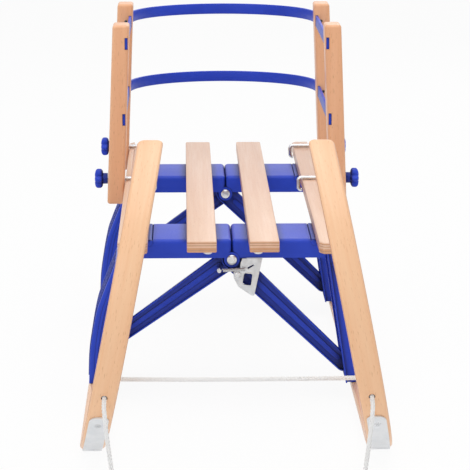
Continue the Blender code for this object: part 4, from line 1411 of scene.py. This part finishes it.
def make_latch():
    window = soft_corners(seat_outline(LATCH_WINDOW), WINDOW_CORNER)
    slit = seat_outline(LATCH_SLIT)

    def plate(bm):
        prism_y(bm, soft_corners(seat_outline(LATCH_OUTLINE), PLATE_CORNER), LATCH_Y,
                LATCH_Y + BAR_WALL)

    def lip(bm):
        prism_y(bm, grown(window, LIP_WIDTH), LATCH_Y - LIP_HEIGHT, LATCH_Y + BAR_WALL / 2)

    def openings(bm):
        prism_y(bm, window, LATCH_Y - CUT, LATCH_Y + CUT)
        prism_y(bm, slit, LATCH_Y - CUT, LATCH_Y + CUT)
        rod_between(bm, (LATCH_BOSS[0], LATCH_Y - CUT, LATCH_BOSS[1]),
                    (LATCH_BOSS[0], LATCH_Y + CUT, LATCH_BOSS[1]), LATCH_HOLE_RADIUS)

    latch = piece_from("latch_stamping", plate, latch_zinc, "latch", ["latch_plate"])
    boolean(latch, lip, "UNION")
    boolean(latch, openings)
    rounded(latch, STAMPED_EDGE, 2, 50)


make_latch()
print("latch plate with its window and slit")

# %% Latch pins
SPRING_PIN = (-0.0172, SEAT_HEIGHT - 0.0566)
SPRING_AHEAD = 0.0068
SPRING_POST_REACH = 0.0030
LATCH_RIVET = (0.0025, 0.0044, 0.0021)
SPRING_POST = (0.0016, 0.0028, 0.0010)


def one_headed_pin(name, body, centre, sizes, head_y, end_y, nodes):
    radius, head, crown = sizes
    profile = list(reversed(dome(head, crown, head_y, -1)))
    profile += [(head, head_y), (radius, head_y), (radius, end_y), (0.0, end_y)]
    piece_from(name, lambda bm: lathe_y(bm, profile, centre, 40), zinc, body, nodes)


def brace_web_y(layer):
    return BAR_FRONT_Y + layer + BRACE_DEPTH - BRACE_WALL - GAP


one_headed_pin("latch_rivet", "right_braces", LATCH_BOSS, LATCH_RIVET, LATCH_Y - GAP,
               brace_web_y(BRACES["right"][0]), ["latch_pin"])
one_headed_pin("spring_post", "left_braces", SPRING_PIN, SPRING_POST,
               BAR_FRONT_Y - SPRING_AHEAD - SPRING_POST_REACH, brace_web_y(BRACES["left"][0]),
               ["spring_pin"])
print("latch pin and spring pin")


# %% Round bar helper and spring
def round_bar(bm, points, radius, sides):
    places = [Vector(p) for p in points]
    frames = frames_along(places)
    tube_rings(bm, [[point + (side * cos(2 * pi * k / sides) + up * sin(2 * pi * k / sides)) * radius
                     for k in range(sides)] for point, side, up in frames])


SPRING_HOOK = (0.0215, SEAT_HEIGHT - 0.0548)
SPRING_RADIUS = 0.0020
SPRING_WIRE = 0.0008
SPRING_CURLS = 31
CURL_STEPS = 20
EYE_STEPS = 30
EYE_LENGTH = 0.0050
HOOK_LENGTH = 0.0042


def spring_line():
    y = BAR_FRONT_Y - SPRING_AHEAD
    start = Vector((SPRING_PIN[0], y, SPRING_PIN[1]))
    end = Vector((SPRING_HOOK[0], y, SPRING_HOOK[1]))
    along = (end - start).normalized()
    up = Vector((-along.z, 0, along.x))
    back = Vector((0, 1, 0))
    eye = SPRING_POST[0] + GAP + SPRING_WIRE
    points = []
    for i in range(EYE_STEPS + 1):
        turn = radians(60) + radians(300) * i / EYE_STEPS
        points.append(start + along * eye * cos(turn) + up * eye * sin(turn))
    first = start + along * EYE_LENGTH
    run = end - along * HOOK_LENGTH - first
    steps = SPRING_CURLS * CURL_STEPS
    for i in range(steps + 1):
        turn = 2 * pi * SPRING_CURLS * i / steps
        points.append(first + run * i / steps + up * SPRING_RADIUS * cos(turn)
                      + back * SPRING_RADIUS * sin(turn))
    points.append(end + back * SPRING_WIRE)
    points.append(end + along * SPRING_WIRE / 2 + back * (SPRING_AHEAD - SPRING_WIRE - 2 * GAP))
    return points


spring = piece_from("latch_coil", lambda bm: round_bar(bm, spring_line(), SPRING_WIRE / 2, 8), zinc,
                    "left_braces", ["latch_spring"])
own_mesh(spring)
print("spring of", SPRING_CURLS, "curls")

# %% [markdown]
# ## Backrest
#
# Four beech posts stand beside the side slats. Two steel bands run through slots in all four and bend
# round behind the rear pair. Small dark screws hold the bands to the rear posts.

# %% Posts
POST_WIDTH = 0.0245
POST_DEPTH = 0.045
POST_TOP = 0.471
POST_BOTTOM = 0.206
POST_SEAT_X = 0.1637
POST_LEAN = 0.0385
POST_EDGE = 0.0042
POST_PLACES = (("front", 0.14525), ("rear", 0.43125))
BAND_HEIGHT = 0.017
BAND_THICK = 0.004
BAND_INSET = 0.0085
BAND_LEVELS = (("lower", 0.332), ("upper", 0.444))
ROD_RADIUS = 0.00275
ROD_Z = SEAT_HEIGHT + GAP + ROD_RADIUS


def post_x(z):
    return POST_SEAT_X - POST_LEAN * (z - SEAT_HEIGHT)


def make_post(label, side, bar, y):
    half_width = POST_WIDTH / 2

    def body(bm):
        outline = [(side * (post_x(z) + way * half_width), z) for z, way in
                   ((POST_BOTTOM, -1), (POST_BOTTOM, 1), (POST_TOP, 1), (POST_TOP, -1))]
        prism_y(bm, outline, y - POST_DEPTH / 2, y + POST_DEPTH / 2)

    def slots(bm):
        for _, level in BAND_LEVELS:
            x = post_x(level) - BAND_INSET
            wide = BAND_THICK / 2 + GAP
            tall = BAND_HEIGHT / 2 + GAP
            box_between(bm, (side * (x - wide), y - POST_DEPTH, level - tall),
                        (side * (x + wide), y + POST_DEPTH, level + tall))

    def bore(bm):
        rod_between(bm, (side * 0.1, y, ROD_Z), (side * 0.2, y, ROD_Z), ROD_RADIUS + GAP)

    node = f"{label}_{bar}_post"
    post = piece_from(f"{node}_wood", body, post_wood, "backrest", [node])
    rounded(post, POST_EDGE, 6)
    boolean(post, slots)
    boolean(post, bore)


for side_name, side_sign in SIDES:
    for post_name, post_y in POST_PLACES:
        make_post(side_name, side_sign, post_name, post_y)
print("four posts")

# %% Bands and their screws
BAND_ARC_Y = POST_PLACES[1][1] + POST_DEPTH / 2 + 0.001
BAND_ARC_DEPTH = 0.136
BAND_FRONT = POST_PLACES[0][1] - POST_DEPTH / 2 + 0.0015
BAND_EDGE = 0.0009
BAND_SCREW_RADIUS = 0.0022
BAND_SCREW_CROWN = 0.0013
BAND_SLOT_LEVEL = 0.0014
BAND_SLOT_REACH = 0.0015
BAND_SLOT_RADIUS = 0.0004
BAND_SCREW_INSET = 0.0017


def make_band(level_name, level):
    half_span = post_x(level) - BAND_INSET

    def path(inset):
        points = [(half_span - inset, BAND_FRONT)]
        for i in range(97):
            turn = pi * i / 96
            points.append(((half_span - inset) * cos(turn),
                           BAND_ARC_Y + (BAND_ARC_DEPTH - inset) * sin(turn)))
        points.append((-half_span + inset, BAND_FRONT))
        return points

    def strip(bm):
        rings = []
        for (xi, yi), (xo, yo) in zip(path(BAND_THICK / 2), path(-BAND_THICK / 2)):
            middle_x = (xi + xo) / 2
            middle_y = (yi + yo) / 2
            ring = []
            for across, tall in section(BAND_THICK / 2, BAND_HEIGHT / 2, BAND_EDGE, 3):
                share = across / (BAND_THICK / 2)
                ring.append((middle_x + (xo - xi) / 2 * share, middle_y + (yo - yi) / 2 * share,
                             level + tall))
            rings.append(ring)
        tube_rings(bm, rings)

    node = f"{level_name}_back_band"
    piece_from(f"{node}_strip", strip, blue_paint, "backrest", [node])


def make_band_screw(label, side, level_name, level):
    y = POST_PLACES[1][1] - POST_DEPTH / 2
    x = side * (post_x(level) - BAND_SCREW_INSET)
    profile = list(reversed(dome(BAND_SCREW_RADIUS, BAND_SCREW_CROWN, y - GAP, -1)))
    profile += [(BAND_SCREW_RADIUS, y - GAP), (0.0, y - GAP)]
    node = f"{label}_{level_name}_band_screw"
    screw = piece_from(f"{node}_head", lambda bm: lathe_y(bm, profile, (x, level), 32), dark_steel,
                       "backrest", [node])

    def slot(bm, dx, dz):
        rod_between(bm, (x - dx, y - GAP - BAND_SLOT_LEVEL, level - dz),
                    (x + dx, y - GAP - BAND_SLOT_LEVEL, level + dz), BAND_SLOT_RADIUS, 8)

    boolean(screw, lambda bm: slot(bm, BAND_SLOT_REACH, 0.0))
    boolean(screw, lambda bm: slot(bm, 0.0, BAND_SLOT_REACH))


for level_name, band_level in BAND_LEVELS:
    make_band(level_name, band_level)
    for side_name, side_sign in SIDES:
        make_band_screw(side_name, side_sign, level_name, band_level)
print("two bands and four screws")

# %% [markdown]
# ## Clamps
#
# A bent zinc rod goes over each side slat, hooks down beside its inner edge and ends in a star knob
# outside the post. A knob is a stack of rings. Its six lobes follow a cosine, and the rings swell from
# either face towards the middle like a pebble, which gives a hand-friendly rim without any bevel.

# %% Hooks
SIDE_SLAT_CENTRE = 0.1315
SLAT_WIDTH = 0.039
HOOK_BEND = 0.0042
HOOK_DROP = 0.018
HOOK_STAND_OFF = 0.0026
HOOK_TIP_GAP = 0.0006
KNOB_HUB_LENGTH = 0.0065
HOOK_IN_KNOB = 0.0075


def make_hook(label, side, bar, y):
    x_down = SIDE_SLAT_CENTRE - SLAT_WIDTH / 2 - HOOK_STAND_OFF - ROD_RADIUS
    x_tip = SIDE_SLAT_CENTRE - SLAT_WIDTH / 2 - HOOK_TIP_GAP
    x_end = POST_SEAT_X + POST_WIDTH / 2 + KNOB_HUB_LENGTH + HOOK_IN_KNOB
    low = ROD_Z - HOOK_DROP
    points = [(x_end, ROD_Z)]
    points += arc_points((x_down + HOOK_BEND, ROD_Z - HOOK_BEND), HOOK_BEND, pi / 2, pi, 16)
    points += arc_points((x_down + HOOK_BEND, low + HOOK_BEND), HOOK_BEND, pi, 3 * pi / 2, 16)
    if x_tip > points[-1][0] + 0.0002:
        points.append((x_tip, low))
    line = [(side * px, y, pz) for px, pz in points]
    node = f"{label}_{bar}_hook"

    def rod(bm):
        sides = 24
        rings = []
        for i, point in enumerate(line):
            here = Vector(point)
            before = Vector(line[max(i - 1, 0)])
            after = Vector(line[min(i + 1, len(line) - 1)])
            along = (after - before).normalized()
            across = Vector((0, 1, 0))
            up = along.cross(across)
            rings.append([here + (across * cos(2 * pi * k / sides) + up * sin(2 * pi * k / sides))
                          * ROD_RADIUS for k in range(sides)])
        tube_rings(bm, rings)

    piece_from(f"{node}_rod", rod, zinc, f"{label}_{bar}_clamp_hook", [node])


# %% Star knobs
KNOB_RADIUS = 0.015
KNOB_WAIST = 0.0108
KNOB_RINGS = 20
KNOB_FACE = 0.97
KNOB_LOBES = 6
KNOB_LENGTH = 0.0125
KNOB_CAP = 0.003
KNOB_GAP = 0.0009
KNOB_HUB_RADIUS = 0.008
KNOB_SWELL = 3.2
KNOB_LOBE_POWER = 0.7
DISH_DEPTH = 0.0010
DISH_FLOOR = 0.0062
DISH_RIM = 0.0082


def make_knob(label, side, bar, y):
    start = POST_SEAT_X + POST_WIDTH / 2 + KNOB_GAP
    middle = start + KNOB_HUB_LENGTH
    end = middle + KNOB_LENGTH

    def star(bm):
        steps = KNOB_LOBES * 16
        rings = []
        for k in range(KNOB_RINGS + 1):
            share = -KNOB_FACE + 2 * KNOB_FACE * k / KNOB_RINGS
            swell = (1 - abs(share) ** KNOB_SWELL) ** (1 / KNOB_SWELL)
            x = middle + KNOB_LENGTH * (0.5 + 0.5 * share / KNOB_FACE)
            ring = []
            for i in range(steps):
                turn = 2 * pi * i / steps
                bulge = (0.5 + 0.5 * cos(KNOB_LOBES * turn)) ** KNOB_LOBE_POWER
                radius = (KNOB_WAIST + (KNOB_RADIUS - KNOB_WAIST) * bulge) * swell
                ring.append((side * x, y + radius * cos(turn), ROD_Z + radius * sin(turn)))
            rings.append(ring)
        tube_rings(bm, rings)

    def hub(bm):
        rod_between(bm, (side * start, y, ROD_Z), (side * (middle + KNOB_CAP), y, ROD_Z),
                    KNOB_HUB_RADIUS, 64)

    def bore(bm):
        rod_between(bm, (side * (start - CUT), y, ROD_Z), (side * (end - KNOB_CAP), y, ROD_Z),
                    ROD_RADIUS + GAP)

    def dish(bm):
        rod_between(bm, (side * (end - DISH_DEPTH), y, ROD_Z), (side * (end + DISH_DEPTH), y, ROD_Z),
                    DISH_FLOOR, 64, DISH_RIM)

    node = f"{label}_{bar}_knob"
    knob = piece_from(f"{node}_star", star, blue_plastic, f"{label}_{bar}_clamp_knob",
                      [node])
    boolean(knob, hub, "UNION")
    boolean(knob, bore)
    boolean(knob, dish)


for side_name, side_sign in SIDES:
    for post_name, post_y in POST_PLACES:
        make_hook(side_name, side_sign, post_name, post_y)
        make_knob(side_name, side_sign, post_name, post_y)
print("four hooks and four knobs")
